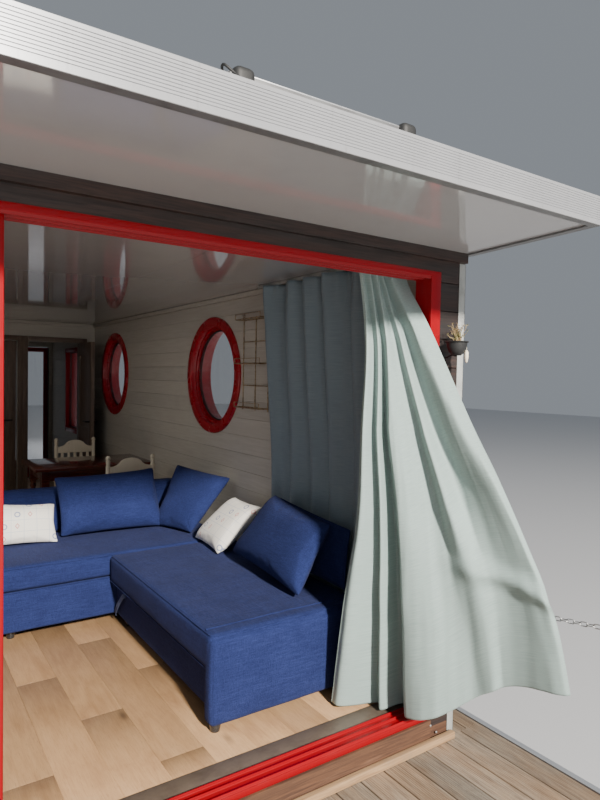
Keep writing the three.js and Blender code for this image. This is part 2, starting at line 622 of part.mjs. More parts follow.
// Table against the port wall, and a chair on either side of it
const table = { x0: 780, x1: innerX - 6, y0: wallY + 3560, y1: wallY + 4230, top: floorZ + 750, thick: 32 };
function tableBody() {
  const top = slab([table.x0, table.x1], [table.y0, table.y1], [table.top - table.thick, table.top]);
  const apron = cut(slab([table.x0 + 60, table.x1 - 60], [table.y0 + 50, table.y1 - 50],
    [table.top - table.thick - 90, table.top - 5]), slab([table.x0 + 85, table.x1 - 85],
    [table.y0 + 75, table.y1 - 75], [table.top - 500, table.top - table.thick + 2]));
  const legs = [table.x0 + 60, table.x1 - 125].flatMap((x) => [table.y0 + 50, table.y1 - 115].map((y) =>
    slab([x, x + 65], [y, y + 65], [floorZ + gap, table.top - 10])));
  return join(top, apron, ...legs);
}
add('table', tableBody(), 'mahogany');

// A chair faces +y from its back; the far one is turned half round.
const chairSize = { width: 420, depth: 430, seat: 450, back: 880, post: 36, finial: 21, slat: 38, board: 28 };
function chairBody() {
  const { width, depth, seat, back, post, finial, slat, board } = chairSize;
  const half = width / 2;
  const postX = half - post / 2;
  const top = new THREE.Shape();
  top.moveTo(-half + post / 2, 0);
  top.lineTo(half - post / 2, 0);
  top.lineTo(half - post / 2, 62);
  top.quadraticCurveTo(half * 0.55, 60, half * 0.42, 105);
  top.quadraticCurveTo(half * 0.3, 132, 0, 134);
  top.quadraticCurveTo(-half * 0.3, 132, -half * 0.42, 105);
  top.quadraticCurveTo(-half * 0.55, 60, -half + post / 2, 62);
  const crest = alongY(top, 6, 26).translate(0, 0, back - 150);
  const posts = [-1, 1].flatMap((side) => {
    const span = [side * postX - post / 2, side * postX + post / 2];
    return [
      slab(span, [0, post], [gap, back - 30]),
      new THREE.SphereGeometry(finial, 8, 6).rotateX(Math.PI / 2).translate(side * postX, post / 2, back - 14),
      slab(span, [depth - post, depth], [gap, seat - 5]),
    ];
  });
  const slats = [-0.62, -0.3, 0, 0.3, 0.62].map((share) =>
    slab([share * half - slat / 2, share * half + slat / 2], [10, 22], [seat + 80, back - 140]));
  const railTable = [
    // near face, low edge
    [6, seat + 60],
    [8, 200],
    [depth - 28, 200],
  ];
  const rails = railTable.map(([y, z]) => slab([-half + 10, half - 10], [y, y + 20], [z, z + 40]));
  const seatBoard = slab([-half - 5, half + 5], [-4, depth + 15], [seat - board, seat]);
  return join(seatBoard, crest, ...posts, ...slats, ...rails);
}
const chairs = [
  { name: 'chair_near', x: 1447, y: wallY + 3090, turn: 0 },
  { name: 'chair_far', x: 1400, y: wallY + 4760, turn: Math.PI },
];
for (const chair of chairs) {
  const mesh = add(chair.name, chairBody(), 'chairPaint');
  mesh.rotation.z = chair.turn;
  mesh.position.set(chair.x, chair.y, floorZ);
}

// Curtains: thin folded sheets. The outer one hangs from the front rail and is blown out over the sill.
const rail = { y: wallY + 165, x: 1735, low: roofZ - 20, half: 9 };
const hung = 0.6;                              // the cloth's top edge lies this far under the rail
const clothThick = 8;
// A closed sheet from a function of (s, t), s across the cloth and t down it.
function sheet(place, across, down) {
  const front = [];
  const back = [];
  const at = (s, t) => place(Math.min(Math.max(s, 0), 1), Math.min(Math.max(t, 0), 1));
  for (let j = 0; j <= down; j += 1) {
    for (let i = 0; i <= across; i += 1) {
      const s = i / across;
      const t = j / down;
      const here = at(s, t);
      const alongS = at(s + 0.002, t).sub(at(s - 0.002, t));
      const alongT = at(s, t + 0.002).sub(at(s, t - 0.002));
      const across3 = alongS.cross(alongT);
      if (j === 0) across3.z = 0;              // the top edge is level
      const normal = across3.normalize().multiplyScalar(clothThick / 2);
      front.push(here.clone().add(normal));
      back.push(here.clone().sub(normal));
    }
  }
  return closedSheet([...front, ...back].map((p) => [p.x, p.y, p.z]), across, down);
}
const topZ = rail.low - hung - deckZ;
// The blown curtain hangs between four border curves: [x, y from the wall, z above the deck].
const blown = {
  left: [[1456, 165, topZ], [1515, 165, 1882], [1504, 165, 1474], [1514, 190, 1060], [1503, 250, 660],
    [1500, 323, 152]],
  free: [[1745, 165, topZ], [1745, 158, 2200], [1745, 118, 2120], [1745, -13, 1935],
    [1810, -199, 1537], [1860, -325, 1290],
    [1900, -452, 1018], [1930, -560, 770], [1950, -627, 490]],
  hem: [[1500, 323, 152], [1610, 200, 152], [1700, 90, 165], [1720, -150, 240], [1837, -400, 428],
    [1950, -627, 490]],
};
const blownRows = [0, 0.185, 0.377, 0.572, 0.76, 1];
// Each fold: its share across the cloth and its height at each of those rows down.
const blownFolds = [
  { at: [0, 0, 0, 0, 0, 0], high: [-4, -10, -14, -16, -18, -18] },
  { at: [0.09, 0.09, 0.09, 0.09, 0.117, 0.147], high: [12, 30, 46, 52, 56, 58] },
  { at: [0.19, 0.21, 0.20, 0.17, 0.184, 0.205], high: [-8, -26, -44, -50, -52, -46] },
  { at: [0.27, 0.31, 0.26, 0.24, 0.233, 0.247], high: [12, 26, 30, 30, 32, 34] },
  { at: [0.34, 0.39, 0.35, 0.31, 0.29, 0.298], high: [-8, -24, -46, -54, -56, -50] },
  { at: [0.42, 0.47, 0.44, 0.385, 0.364, 0.386], high: [6, 6, 2, 4, 12, 26] },
  { at: [0.50, 0.55, 0.54, 0.49, 0.476, 0.50], high: [10, 16, 34, 50, 54, 44] },
  { at: [0.54, 0.58, 0.675, 0.66, 0.626, 0.616], high: [-8, -16, -26, -22, 6, 10] },
  { at: [0.57, 0.63, 0.765, 0.77, 0.75, 0.73], high: [10, 26, 44, 48, 20, -6] },
  { at: [0.62, 0.72, 0.86, 0.88, 0.87, 0.847], high: [-6, -22, -34, -36, -24, -14] },
  { at: [0.72, 0.82, 0.94, 0.965, 0.98, 0.985], high: [6, 8, -4, -8, -4, -2] },
  { at: [1, 1, 1, 1, 1, 1], high: [8, 16, 10, 4, 2, 2] },
];
const pullFold = { low: 0.80, rise: 0.10, width: 0.024, high: 20, from: 0.45, full: 0.8 };
const between = (value, low, high) => Math.min(Math.max((value - low) / (high - low), 0), 1);
const eased = (share) => share * share * (3 - 2 * share);
const curveOf = (points) => new THREE.CatmullRomCurve3(points.map(([x, y, z]) =>
  new THREE.Vector3(x, wallY + y, deckZ + z)));
const borders = { left: curveOf(blown.left), free: curveOf(blown.free), hem: curveOf(blown.hem) };
function foldHeight(s, t) {
  const row = Math.min(blownRows.findLastIndex((place) => place <= t), blownRows.length - 2);
  const share = between(t, blownRows[row], blownRows[row + 1]);
  const value = (list) => list[row] + (list[row + 1] - list[row]) * share;
  const k = Math.min(blownFolds.findLastIndex((fold) => value(fold.at) <= s), blownFolds.length - 2);
  const near = blownFolds[k];
  const next = blownFolds[k + 1];
  const part = eased(between(s, value(near.at), value(next.at)));
  return value(near.high) * (1 - part) + value(next.high) * part;
}
function blownPlace(s, t) {
  const left = borders.left.getPointAt(t);
  const free = borders.free.getPointAt(t);
  const hem = borders.hem.getPointAt(s);
  const [lowLeft, lowRight] = [borders.hem.getPoint(0), borders.hem.getPoint(1)];
  const mixed = (axis) => left[axis] * (1 - s) + free[axis] * s
    + t * (hem[axis] - lowLeft[axis] * (1 - s) - lowRight[axis] * s);
  const pull = Math.exp(-(((t - pullFold.low + pullFold.rise * (1 - s)) / pullFold.width) ** 2));
  const height = foldHeight(s, t) + pull * pullFold.high * eased(between(s, pullFold.from, pullFold.full));
  const out = new THREE.Vector3(free.y - left.y, left.x - free.x, 0).normalize().multiplyScalar(height);
  return new THREE.Vector3(mixed('x'), mixed('y'), mixed('z')).add(out);
}
add('curtain_outer', sheet(blownPlace, 60, 16), 'curtain');
const gathered = { y0: wallY + 335, y1: wallY + 1360, topX: 1735, lowX: 1788, top: rail.low - hung,
  low: floorZ + 60,
  waves: 5, topSwing: 42, lowSwing: 24, settled: 0.62, room: innerX - 10 };
function gatheredPlace(s, t) {
  const down = eased(between(t, 0, gathered.settled));
  const swing = gathered.topSwing + (gathered.lowSwing - gathered.topSwing) * down;
  const middle = gathered.topX + (gathered.lowX - gathered.topX) * down;
  const phase = (s + 0.018 * Math.sin(s * 11 + t * 1.3)) * gathered.waves * 2 * Math.PI;
  const wave = (Math.sin(phase) + 0.28 * Math.sin(2 * phase + 0.8)) / 1.15;
  return new THREE.Vector3(Math.min(middle + swing * wave, gathered.room),
    gathered.y0 + (gathered.y1 - gathered.y0) * s, gathered.top + (gathered.low - gathered.top) * t);
}
add('curtain_inner', sheet(gatheredPlace, 50, 6), 'curtain');
add('curtain_rail', join(
  slab([-1780, rail.x + rail.half], [rail.y - rail.half, rail.y + rail.half], [rail.low, roofZ - gap]),
  slab([rail.x - rail.half, rail.x + rail.half], [rail.y - rail.half, wallY + 1500],
    [rail.low, roofZ - gap])), 'alloy');

// Wire rack on the port wall
const rack = { y0: wallY + 1520, y1: wallY + 1860, z0: deckZ + 1490, z1: deckZ + 2100, depth: 70, wire: 5 };
function wireRack() {
  const x = innerX - rack.wire - gap;
  const bars = [];
  for (const z of [rack.z0, (rack.z0 + rack.z1) / 2, rack.z1]) {
    bars.push(rod([x, rack.y0 - 4, z], [x, rack.y1 + 4, z], rack.wire, 4));
    bars.push(rod([x - rack.depth, rack.y0 - 4, z], [x - rack.depth, rack.y1 + 4, z], rack.wire, 4));
    for (const y of [rack.y0, rack.y1]) {
      bars.push(rod([x + 2, y, z], [x - rack.depth - 2, y, z], rack.wire, 4));
    }
  }
  for (const y of [rack.y0, (rack.y0 + rack.y1) / 2, rack.y1]) {
    bars.push(rod([x, y, rack.z0 - 4], [x, y, rack.z1 + 4], rack.wire, 4));
  }
  return join(...bars);
}
add('wire_rack', wireRack(), 'wire');

// Guard rail of the terrace: two posts a side, and a slack chain
const post = { x: 2140, height: 880, radius: 21 };
const postsY = { middle: wallY - 1240, bow: bowY + 90 };
function guardPost(y) {
  return join(
    slab([post.x - 45, post.x + 17], [y - 45, y + 45], [deckZ + gap, deckZ + 8]),
    rod([post.x, y, deckZ + 4], [post.x, y, deckZ + post.height], post.radius, 12),
    new THREE.SphereGeometry(27, 10, 6).rotateX(Math.PI / 2).translate(post.x, y, deckZ + post.height + 5));
}
// The chain is fixed to an eye on the cabin, runs past the middle post's inner side and ends at the bow post.
const chainX = post.x - post.radius - chainHalf - gap;
const chainSpans = [
  { from: [eye.x, wallY - eye.reach - 1.2, eye.z], to: [chainX, postsY.middle, deckZ + 845], sag: 38 },
  { from: [chainX, postsY.middle, deckZ + 845], to: [chainX, postsY.bow, deckZ + 845], sag: 70 },
];
function guardChain() {
  const stepsEach = 14;
  const points = chainSpans.flatMap(({ from, to, sag }, span) =>
    Array.from({ length: stepsEach + (span === 0 ? 0 : 1) }, (_, i) => {
      const t = i / stepsEach;
      return new THREE.Vector3(...from).lerp(new THREE.Vector3(...to), t)
        .add(new THREE.Vector3(0, 0, -sag * 4 * t * (1 - t)));
    }));
  const square = polygon([[-chainHalf, -chainHalf], [chainHalf, -chainHalf], [chainHalf, chainHalf],
    [-chainHalf, chainHalf]]);
  const steps = 2 * stepsEach;
  const extrudePath = new THREE.CatmullRomCurve3(points);
  return new THREE.ExtrudeGeometry(square, { steps, extrudePath, bevelEnabled: false });
}
add('guard_chain_port', guardChain(), 'galvanised');
add('guard_chain_starboard', mirrored(guardChain()), 'galvanised');
for (const [place, y] of Object.entries(postsY)) {
  add(`guard_post_port_${place}`, guardPost(y), 'galvanised');
  add(`guard_post_starboard_${place}`, mirrored(guardPost(y)), 'galvanised');
}

// Solar panel on the roof, in black corner mounts
const solar = { x0: 420, x1: 1090, y0: roofFrontY + 90, length: 1480, lift: 45, thick: 35 };
function solarZ(y) {
  const slope = (wallY - 30 - y) / (overhang - 30 - fasciaThick - gap);
  return roofZ + roofThick + roofRise * Math.max(0, slope);
}
const solarLow = solarZ(solar.y0) + solar.lift;
add('solar_panel', slab([solar.x0, solar.x1], [solar.y0, solar.y0 + solar.length],
  [solarLow, solarLow + solar.thick]), 'solar');
function solarMounts() {
  const pieces = [];
  for (const x of [solar.x0 + 60, solar.x1 - 60]) {
    pieces.push(slab([x - 30, x + 30], [solar.y0 - 30, solar.y0 + solar.length + 30],
      [solarLow - 12, solarLow - gap]));
    for (const y of [solar.y0 + 10, solar.y0 + solar.length - 10]) {
      pieces.push(slab([x - 55, x + 55], [y - 45, y + 45], [solarZ(y - 45) + gap, solarLow - 5]));
    }
  }
  pieces.push(slab([solar.x0 + 60, solar.x1 - 60], [solar.y0 + 700, solar.y0 + 740],
    [solarLow - 12, solarLow - gap]));
  return join(...pieces);
}
add('solar_mounts', solarMounts(), 'blackPlastic');

// Helm: a console on the starboard side of the saloon, with a wheel
const helm = { x: -1520, y: wallY + 620, width: 420, depth: 340, height: 980, wheel: 170 };
function helmConsole() {
  const outline = polygon([
    [helm.y, floorZ + gap], [helm.y, floorZ + helm.height - 120], [helm.y - 130, floorZ + helm.height],
    [helm.y - helm.depth, floorZ + helm.height], [helm.y - helm.depth, floorZ + gap]]);
  return alongX(outline, helm.x - helm.width / 2, helm.x + helm.width / 2);
}
add('helm_console', helmConsole(), 'cream');
const hub = { y: helm.y - 2, z: floorZ + helm.height - 260 };
function steeringWheel() {
  const rim = new THREE.TorusGeometry(helm.wheel, 12, 6, 20);
  const spokes = [0.25, 2.25, 4.25].map((third) => {
    const angle = (third * Math.PI) / 3;
    return rod([0, 0, 0], [helm.wheel * Math.cos(angle), helm.wheel * Math.sin(angle), 0], 8, 8);
  });
  const boss = new THREE.CylinderGeometry(34, 40, 40, 16).rotateX(Math.PI / 2);
  const shaft = rod([0, 0, 0], [0, 0, -60 + 0.5], 14, 12);
  return join(rim, boss, shaft, ...spokes);
}
add('helm_wheel', steeringWheel().rotateX(-Math.PI / 2).translate(helm.x, hub.y + 62, hub.z), 'blackPlastic');

// Outboard engine: clamp bracket, swivel, engine and propeller, between the floats
const tiltPin = { y: sternY + 40, z: frameTop + 10, radius: 16, half: 94 };
const steerAxis = { y: sternY + 150 };
const bearing = { pin: 22, bore: 22.8, sides: 16 };
const clampArm = { x: 85, half: 11, y1: sternY + 66, high: frameTop + 38 };
function bracket() {
  const plate = slab([-110, 110], [sternY + gap, sternY + 14], [frameTop - 180, clampArm.high]);
  const arms = [-1, 1].map((s) => slab([s * clampArm.x - clampArm.half, s * clampArm.x + clampArm.half],
    [sternY + 10, clampArm.y1], [frameTop - 170, clampArm.high]));
  const bore = rod([-150, tiltPin.y, tiltPin.z], [150, tiltPin.y, tiltPin.z], tiltPin.radius + 0.8, 16);
  return cut(join(plate, ...arms), bore);
}
add('outboard_bracket', bracket(), 'engine');
function swivel() {
  const tube = rod([0, steerAxis.y, frameTop - 190], [0, steerAxis.y, frameTop + 30], 40, bearing.sides);
  const bore = rod([0, steerAxis.y, frameTop - 300], [0, steerAxis.y, frameTop + 90], bearing.bore,
    bearing.sides);
  const yoke = slab([-60, 60], [sternY + 34, steerAxis.y - 10], [frameTop - 20, frameTop + 28]);
  const pin = rod([-tiltPin.half, tiltPin.y, tiltPin.z], [tiltPin.half, tiltPin.y, tiltPin.z],
    tiltPin.radius, 16);
  return cut(join(tube, yoke, pin), bore);
}
add('outboard_swivel', swivel(), 'engine');
const prop = { y: steerAxis.y + 160, z: 210, radius: 150 };
// The hood's lower edge and front leave room over the deck when the engine is tilted and steered.
const hood = { low: frameTop + 190, front: sternY + 80, end: sternY + engineReach, half: 125, bevel: 30 };
function engineHood() {
  const side = new THREE.Shape();
  side.moveTo(hood.front + 5, hood.low);
  side.lineTo(hood.end - 60, hood.low - 20);
  side.quadraticCurveTo(hood.end, hood.low, hood.end, hood.low + 90);
  side.lineTo(hood.end - 20, hood.low + 250);
  side.quadraticCurveTo(hood.end - 40, hood.low + 350, hood.end - 150, hood.low + 355);
  side.lineTo(hood.front + 70, hood.low + 320);
  side.quadraticCurveTo(hood.front, hood.low + 290, hood.front, hood.low + 180);
  return alongX(side, -hood.half, hood.half, { bevelEnabled: true, bevelThickness: hood.bevel,
    bevelSize: hood.bevel, bevelOffset: -hood.bevel, bevelSegments: 2, curveSegments: 5 });
}
function engineBody() {
  const axis = steerAxis.y;
  const neck = slab([-60, 60], [axis - 40, axis + 140], [frameTop + 36, hood.low + 20]);
  const kingpin = rod([0, axis, frameTop - 205], [0, axis, frameTop + 60], bearing.pin, bearing.sides);
  const foot = slab([-45, 45], [axis - 30, axis + 130], [frameTop - 240, frameTop - 196]);
  const rise = slab([-42, 42], [axis + 52, axis + 130], [frameTop - 240, frameTop + 60]);
  const leg = upwards(polygon([[-12, axis - 20], [12, axis - 20], [32, axis + 60], [8, axis + 150],
    [-8, axis + 150], [-32, axis + 60]]), prop.z - 20, frameTop - 220);
  const plate = slab([-80, 80], [axis - 20, axis + 250], [prop.z + 172, prop.z + 184]);
  const torpedo = rod([0, axis - 50, prop.z], [0, prop.y - 0.5, prop.z], 46, 16);
  const skeg = alongX(polygon([[axis - 10, prop.z - 30], [axis + 60, 60], [axis + 115, 60],
    [axis + 120, prop.z - 30]]), -6, 6);
  return join(engineHood(), neck, kingpin, foot, rise, leg, plate, torpedo, skeg);
}
add('outboard_engine', engineBody(), 'engine');
function propeller() {
  const boss = rod([0, prop.y, prop.z], [0, prop.y + 90, prop.z], 40, 16);
  const blades = [0, 1, 2].map((k) => {
    const blade = new THREE.Shape();
    blade.moveTo(-18, 20);
    blade.quadraticCurveTo(-70, 90, -20, prop.radius - 6);
    blade.quadraticCurveTo(10, prop.radius + 2, 40, prop.radius - 25);
    blade.quadraticCurveTo(60, 70, 18, 20);
    return new THREE.ExtrudeGeometry(blade, { depth: 7, bevelEnabled: false, curveSegments: 5 })
      .translate(0, 0, -3.5).rotateY(0.45).rotateX(Math.PI / 2).rotateY((k * 2 * Math.PI) / 3)
      .translate(0, prop.y + 45, prop.z);
  });
  return join(boss, ...blades);
}
add('outboard_propeller', propeller(), 'alloy');

export default boat;
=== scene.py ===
import json
import math
import random

import bmesh
import bpy
from mathutils import Matrix, Vector, noise

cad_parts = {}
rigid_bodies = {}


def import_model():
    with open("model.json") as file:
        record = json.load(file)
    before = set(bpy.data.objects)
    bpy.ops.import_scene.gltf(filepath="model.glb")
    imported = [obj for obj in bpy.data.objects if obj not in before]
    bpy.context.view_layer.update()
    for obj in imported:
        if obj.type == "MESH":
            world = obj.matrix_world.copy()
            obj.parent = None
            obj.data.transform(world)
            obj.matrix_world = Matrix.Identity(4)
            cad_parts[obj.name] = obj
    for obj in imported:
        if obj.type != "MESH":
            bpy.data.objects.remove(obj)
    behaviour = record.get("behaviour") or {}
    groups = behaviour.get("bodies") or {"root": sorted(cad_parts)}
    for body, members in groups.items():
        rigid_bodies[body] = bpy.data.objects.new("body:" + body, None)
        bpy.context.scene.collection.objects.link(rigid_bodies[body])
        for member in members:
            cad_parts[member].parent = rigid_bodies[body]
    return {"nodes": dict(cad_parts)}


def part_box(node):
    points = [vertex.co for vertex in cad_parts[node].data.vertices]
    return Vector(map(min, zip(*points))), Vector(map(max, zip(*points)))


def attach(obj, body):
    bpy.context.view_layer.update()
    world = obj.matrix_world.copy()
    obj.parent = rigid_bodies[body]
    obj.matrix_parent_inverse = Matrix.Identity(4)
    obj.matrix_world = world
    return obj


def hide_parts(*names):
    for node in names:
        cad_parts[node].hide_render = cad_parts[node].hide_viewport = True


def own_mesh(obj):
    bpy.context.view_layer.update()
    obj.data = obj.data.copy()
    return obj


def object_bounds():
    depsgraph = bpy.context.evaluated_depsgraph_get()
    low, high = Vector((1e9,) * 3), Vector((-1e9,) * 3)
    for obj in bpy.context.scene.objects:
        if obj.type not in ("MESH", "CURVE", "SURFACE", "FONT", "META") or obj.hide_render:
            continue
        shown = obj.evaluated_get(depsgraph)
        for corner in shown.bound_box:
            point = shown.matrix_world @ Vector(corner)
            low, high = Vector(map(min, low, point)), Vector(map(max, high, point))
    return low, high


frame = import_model()
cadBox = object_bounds()
random.seed(11)


def low(node):
    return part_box(node)[0]


def high(node):
    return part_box(node)[1]


# Levels and planes of the boat, in metres
water = 0.310
deckZ = high("deck_front").z
floorZ = high("cabin_floor").z
roofZ = low("roof_panel").z
innerX = high("cabin_floor").x + 0.0003
halfCabin = high("side_wall_port").x
halfBeam = high("deck_edge_trim").x
wallY = low("door_frame").y + 0.002
wallInY = low("cabin_floor").y - 0.0003
rearY = low("deck_rear").y - 0.003
partitionY = low("partition_wall").y
partitionBack = partitionY + 0.06
floorLow = low("cabin_floor")
print("levels ready", round(wallY, 3), round(rearY, 3))


# Shader and geometry arithmetic: a socket that takes part in plain expressions
class Value:
    def __init__(self, graph, node, out=0):
        self.graph = graph
        self.node = node
        self.socket = node.outputs[out]

    def get(self, out):
        return Value(self.graph, self.node, out)

    def math(self, operation, *others):
        return self.graph.node("ShaderNodeMath", {"operation": operation}, (self, *others))

    def __add__(self, other):
        return self.math("ADD", other)

    def __sub__(self, other):
        return self.math("SUBTRACT", other)

    def __mul__(self, other):
        return self.math("MULTIPLY", other)

    def __truediv__(self, other):
        return self.math("DIVIDE", other)

    def reflected(self, operation, other):
        return self.graph.node("ShaderNodeMath", {"operation": operation}, (other, self))

    def __rsub__(self, other):
        return self.reflected("SUBTRACT", other)

    def __rtruediv__(self, other):
        return self.reflected("DIVIDE", other)

    __radd__ = __add__
    __rmul__ = __mul__

    def above(self, edge):
        return self.math("GREATER_THAN", edge)

    def below(self, edge):
        return self.math("LESS_THAN", edge)

    def within(self, start, end):
        span = {"interpolation_type": "SMOOTHSTEP", "clamp": True}
        return self.graph.node("ShaderNodeMapRange", span, (self, start, end, 0.0, 1.0))


class Graph:
    def __init__(self, tree):
        self.tree = tree

    def node(self, kind, settings=None, inputs=(), out=0):
        made = self.tree.nodes.new(kind)
        for key, value in (settings or {}).items():
            if key == "stops":
                self.fill(made.color_ramp, value)
            else:
                setattr(made, key, value)
        pairs = inputs.items() if isinstance(inputs, dict) else enumerate(inputs)
        for key, value in pairs:
            if isinstance(value, Value):
                self.tree.links.new(value.socket, made.inputs[key])
            elif value is not None:
                made.inputs[key].default_value = value
        return Value(self, made, out)

    def fill(self, ramp, stops):
        while len(ramp.elements) < len(stops):
            ramp.elements.new(0.5)
        for element, (position, colour) in zip(ramp.elements, stops):
            element.position = position
            element.color = (*colour, 1.0)


class Finish(Graph):
    def __init__(self, name, colour, roughness=0.5, metallic=0.0, **sockets):
        self.material = bpy.data.materials.new(name)
        self.material.use_nodes = True
        super().__init__(self.material.node_tree)
        self.shader = self.tree.nodes["Principled BSDF"]
        self.place = self.node("ShaderNodeTexCoord", out="Object")
        self.colour(colour)
        self.set("Roughness", roughness)
        self.set("Metallic", metallic)
        for key, value in sockets.items():
            self.set(key.replace("_", " "), value)

    def set(self, name, value):
        if isinstance(value, Value):
            self.tree.links.new(value.socket, self.shader.inputs[name])
        else:
            self.shader.inputs[name].default_value = value

    def colour(self, value):
        self.set("Base Color", value if isinstance(value, Value) else (*value, 1.0))

    def axis(self, name):
        return self.node("ShaderNodeSeparateXYZ", {}, (self.place,), name.upper())

    def stretched(self, scale, source=None):
        return self.node("ShaderNodeMapping", {}, {"Vector": source or self.place, "Scale": scale})

    def noise(self, scale, detail=3.0, rough=0.5, source=None, distortion=0.0):
        return self.node("ShaderNodeTexNoise", {}, {
            "Vector": source or self.place, "Scale": scale, "Detail": detail, "Roughness": rough,
            "Distortion": distortion})

    def streaks(self, scale, detail, rough, distortion=0.0, source=None):  # drawn-out noise
        return self.noise(1.0, detail, rough, self.stretched(scale, source), distortion)

    def chart(self, name):  # the two coordinates of a piece's own map
        whole = self.node("ShaderNodeUVMap", {"uv_map": name})
        parts = self.node("ShaderNodeSeparateXYZ", {}, (whole,), "X")
        return whole, parts, parts.get("Y")

    def cells(self, scale, source=None, out="Distance"):
        return self.node("ShaderNodeTexVoronoi", {}, {"Vector": source or self.place, "Scale": scale}, out)

    def perBoard(self, index, seed=0.0):  # an even random number for each board
        vector = self.node("ShaderNodeCombineXYZ", {}, (index, seed, 0.5))
        return self.node("ShaderNodeTexWhiteNoise", {}, (vector,), "Value")

    def mix(self, factor, a, b, blend="MIX"):
        a, b = [c if isinstance(c, Value) else (*c, 1.0) for c in (a, b)]
        kind = {"data_type": "RGBA", "blend_type": blend}
        return self.node("ShaderNodeMix", kind, {0: factor, 6: a, 7: b}, 2)

    def ramp(self, factor, stops):
        return self.node("ShaderNodeValToRGB", {"stops": stops}, (factor,))

    def bump(self, height, distance, strength):
        inputs = {"Height": height, "Distance": distance, "Strength": strength}
        self.set("Normal", self.node("ShaderNodeBump", {}, inputs))
        return self.material  # the bump is a finish's last step


def floorOf(value):
    return value.math("FLOOR")


def fraction(value):
    return value.math("FRACT")


# Painted and plated metal
def glossRed():
    f = Finish("glossRed", (0.27, 0.0006, 0.006), 0.34, Specular_IOR_Level=0.3)
    dust = f.noise(5.0, 5, 0.65).within(0.5, 0.75)
    scratch = f.noise(40, 2, 0.5, f.stretched((0.2, 1, 3))).within(0.66, 0.7)
    f.colour(f.mix(dust * 0.12, f.mix(scratch * 0.3, (0.27, 0.0006, 0.006), (0.34, 0.012, 0.016)),
                   (0.20, 0.010, 0.012)))
    f.set("Roughness", dust * 0.2 + 0.30)
    return f.bump(f.noise(260, 2), 0.0002, 0.25)


def deepRed():  # the rings of the round windows and their screws
    f = Finish("deepRed", (0.33, 0.002, 0.012), 0.3, Coat_Weight=0.2)
    dust = f.noise(7.0, 5, 0.6).within(0.45, 0.75)
    f.colour(f.mix(dust * 0.3, (0.35, 0.002, 0.012), (0.25, 0.02, 0.022)))
    f.set("Roughness", dust * 0.2 + 0.26)
    return f.bump(f.noise(240, 2), 0.0002, 0.3)


def hullPaint():
    f = Finish("hullPaint", (0.10, 0.13, 0.15), 0.5)
    z = f.axis("z")
    rows = f.noise(2.2, 6, 0.7, f.stretched((1, 1, 6)))
    runs = f.noise(7, 4, 0.6, f.stretched((3, 3, 0.35))).within(0.5, 0.75)
    wet = (rows * 0.10 + z).below(water + 0.06)
    algae = (rows * 0.16 + z).within(water + 0.13, water + 0.02)
    paint = f.mix(runs * 0.45, (0.105, 0.135, 0.155), (0.055, 0.060, 0.055))
    scum = f.mix(f.noise(30, 4), (0.035, 0.045, 0.022), (0.075, 0.070, 0.045))
    f.colour(f.mix(algae * 0.75, paint, scum))
    f.set("Roughness", 0.55 - wet * 0.25)
    return f.bump(f.noise(60, 4) + f.cells(3.5) * 0.5, 0.0015, 0.35)


def zincSteel():
    f = Finish("zincSteel", (0.46, 0.47, 0.47), 0.42, 0.85)
    spangle = f.cells(90, out="Color")
    shade = f.node("ShaderNodeRGBToBW", {}, (spangle,))
    dull = f.noise(9, 5, 0.7).within(0.45, 0.7)
    f.colour(f.mix(dull * 0.6, f.mix(shade, (0.36, 0.37, 0.38), (0.60, 0.61, 0.61)), (0.27, 0.26, 0.24)))
    f.set("Roughness", dull * 0.3 + 0.36)
    return f.bump(shade, 0.0003, 0.3)


def brushedAlloy():
    f = Finish("brushedAlloy", (0.66, 0.68, 0.71), 0.34, 0.75)
    brush = f.noise(60, 3, 0.6, f.stretched((1, 0.03, 2.5)))
    stain = f.noise(3.5, 6, 0.7).within(0.5, 0.72)
    f.colour(f.mix(stain * 0.5, f.mix(brush, (0.56, 0.58, 0.61), (0.74, 0.76, 0.79)), (0.34, 0.33, 0.32)))
    f.set("Roughness", brush * 0.15 + stain * 0.2 + 0.27)
    return f.bump(brush, 0.0002, 0.3)


def fasciaAlloy():
    f = Finish("fasciaAlloy", (0.74, 0.75, 0.76), 0.34, 0.35)
    # the broad light and dark patches of cloudy are painted cloud reflections on the metal
    cloudy = f.noise(1.3, 4, 0.6, f.stretched((1, 1, 0.3)))
    drips = f.noise(9, 4, 0.7, f.stretched((4, 4, 0.25))).within(0.56, 0.74)
    f.colour(f.mix(drips * 0.3, f.mix(cloudy, (0.29, 0.30, 0.32), (0.47, 0.48, 0.50)), (0.20, 0.20, 0.20)))
    f.set("Roughness", cloudy * 0.15 + 0.24)
    return f.material


def greyTrim(name="greyTrim", colour=(0.42, 0.44, 0.43), dark=(0.27, 0.28, 0.27)):
    f = Finish(name, colour, 0.45, 0.1)
    f.colour(f.mix(f.noise(8, 6, 0.7).within(0.4, 0.75), colour, dark))
    return f.bump(f.noise(220, 2), 0.0002, 0.4)


def glossPanel():
    f = Finish("glossPanel", (0.42, 0.42, 0.43), 0.09, Coat_Weight=0.5, Coat_Roughness=0.04)
    smear = f.noise(3.0, 5, 0.6).within(0.4, 0.8)
    f.colour(f.mix(smear * 0.5, (0.43, 0.43, 0.44), (0.37, 0.37, 0.38)))
    f.set("Roughness", smear * 0.08 + 0.06)
    return f.bump(f.noise(1.6, 2), 0.004, 0.12)


def roofSkin():
    f = Finish("roofSkin", (0.56, 0.57, 0.57), 0.6)
    moss = f.noise(2.4, 7, 0.75).within(0.54, 0.74)
    grit = f.noise(400, 2)
    f.colour(f.mix(moss * 0.6, f.mix(grit, (0.50, 0.51, 0.51), (0.63, 0.64, 0.64)), (0.24, 0.24, 0.20)))
    return f.bump(grit, 0.0006, 0.5)


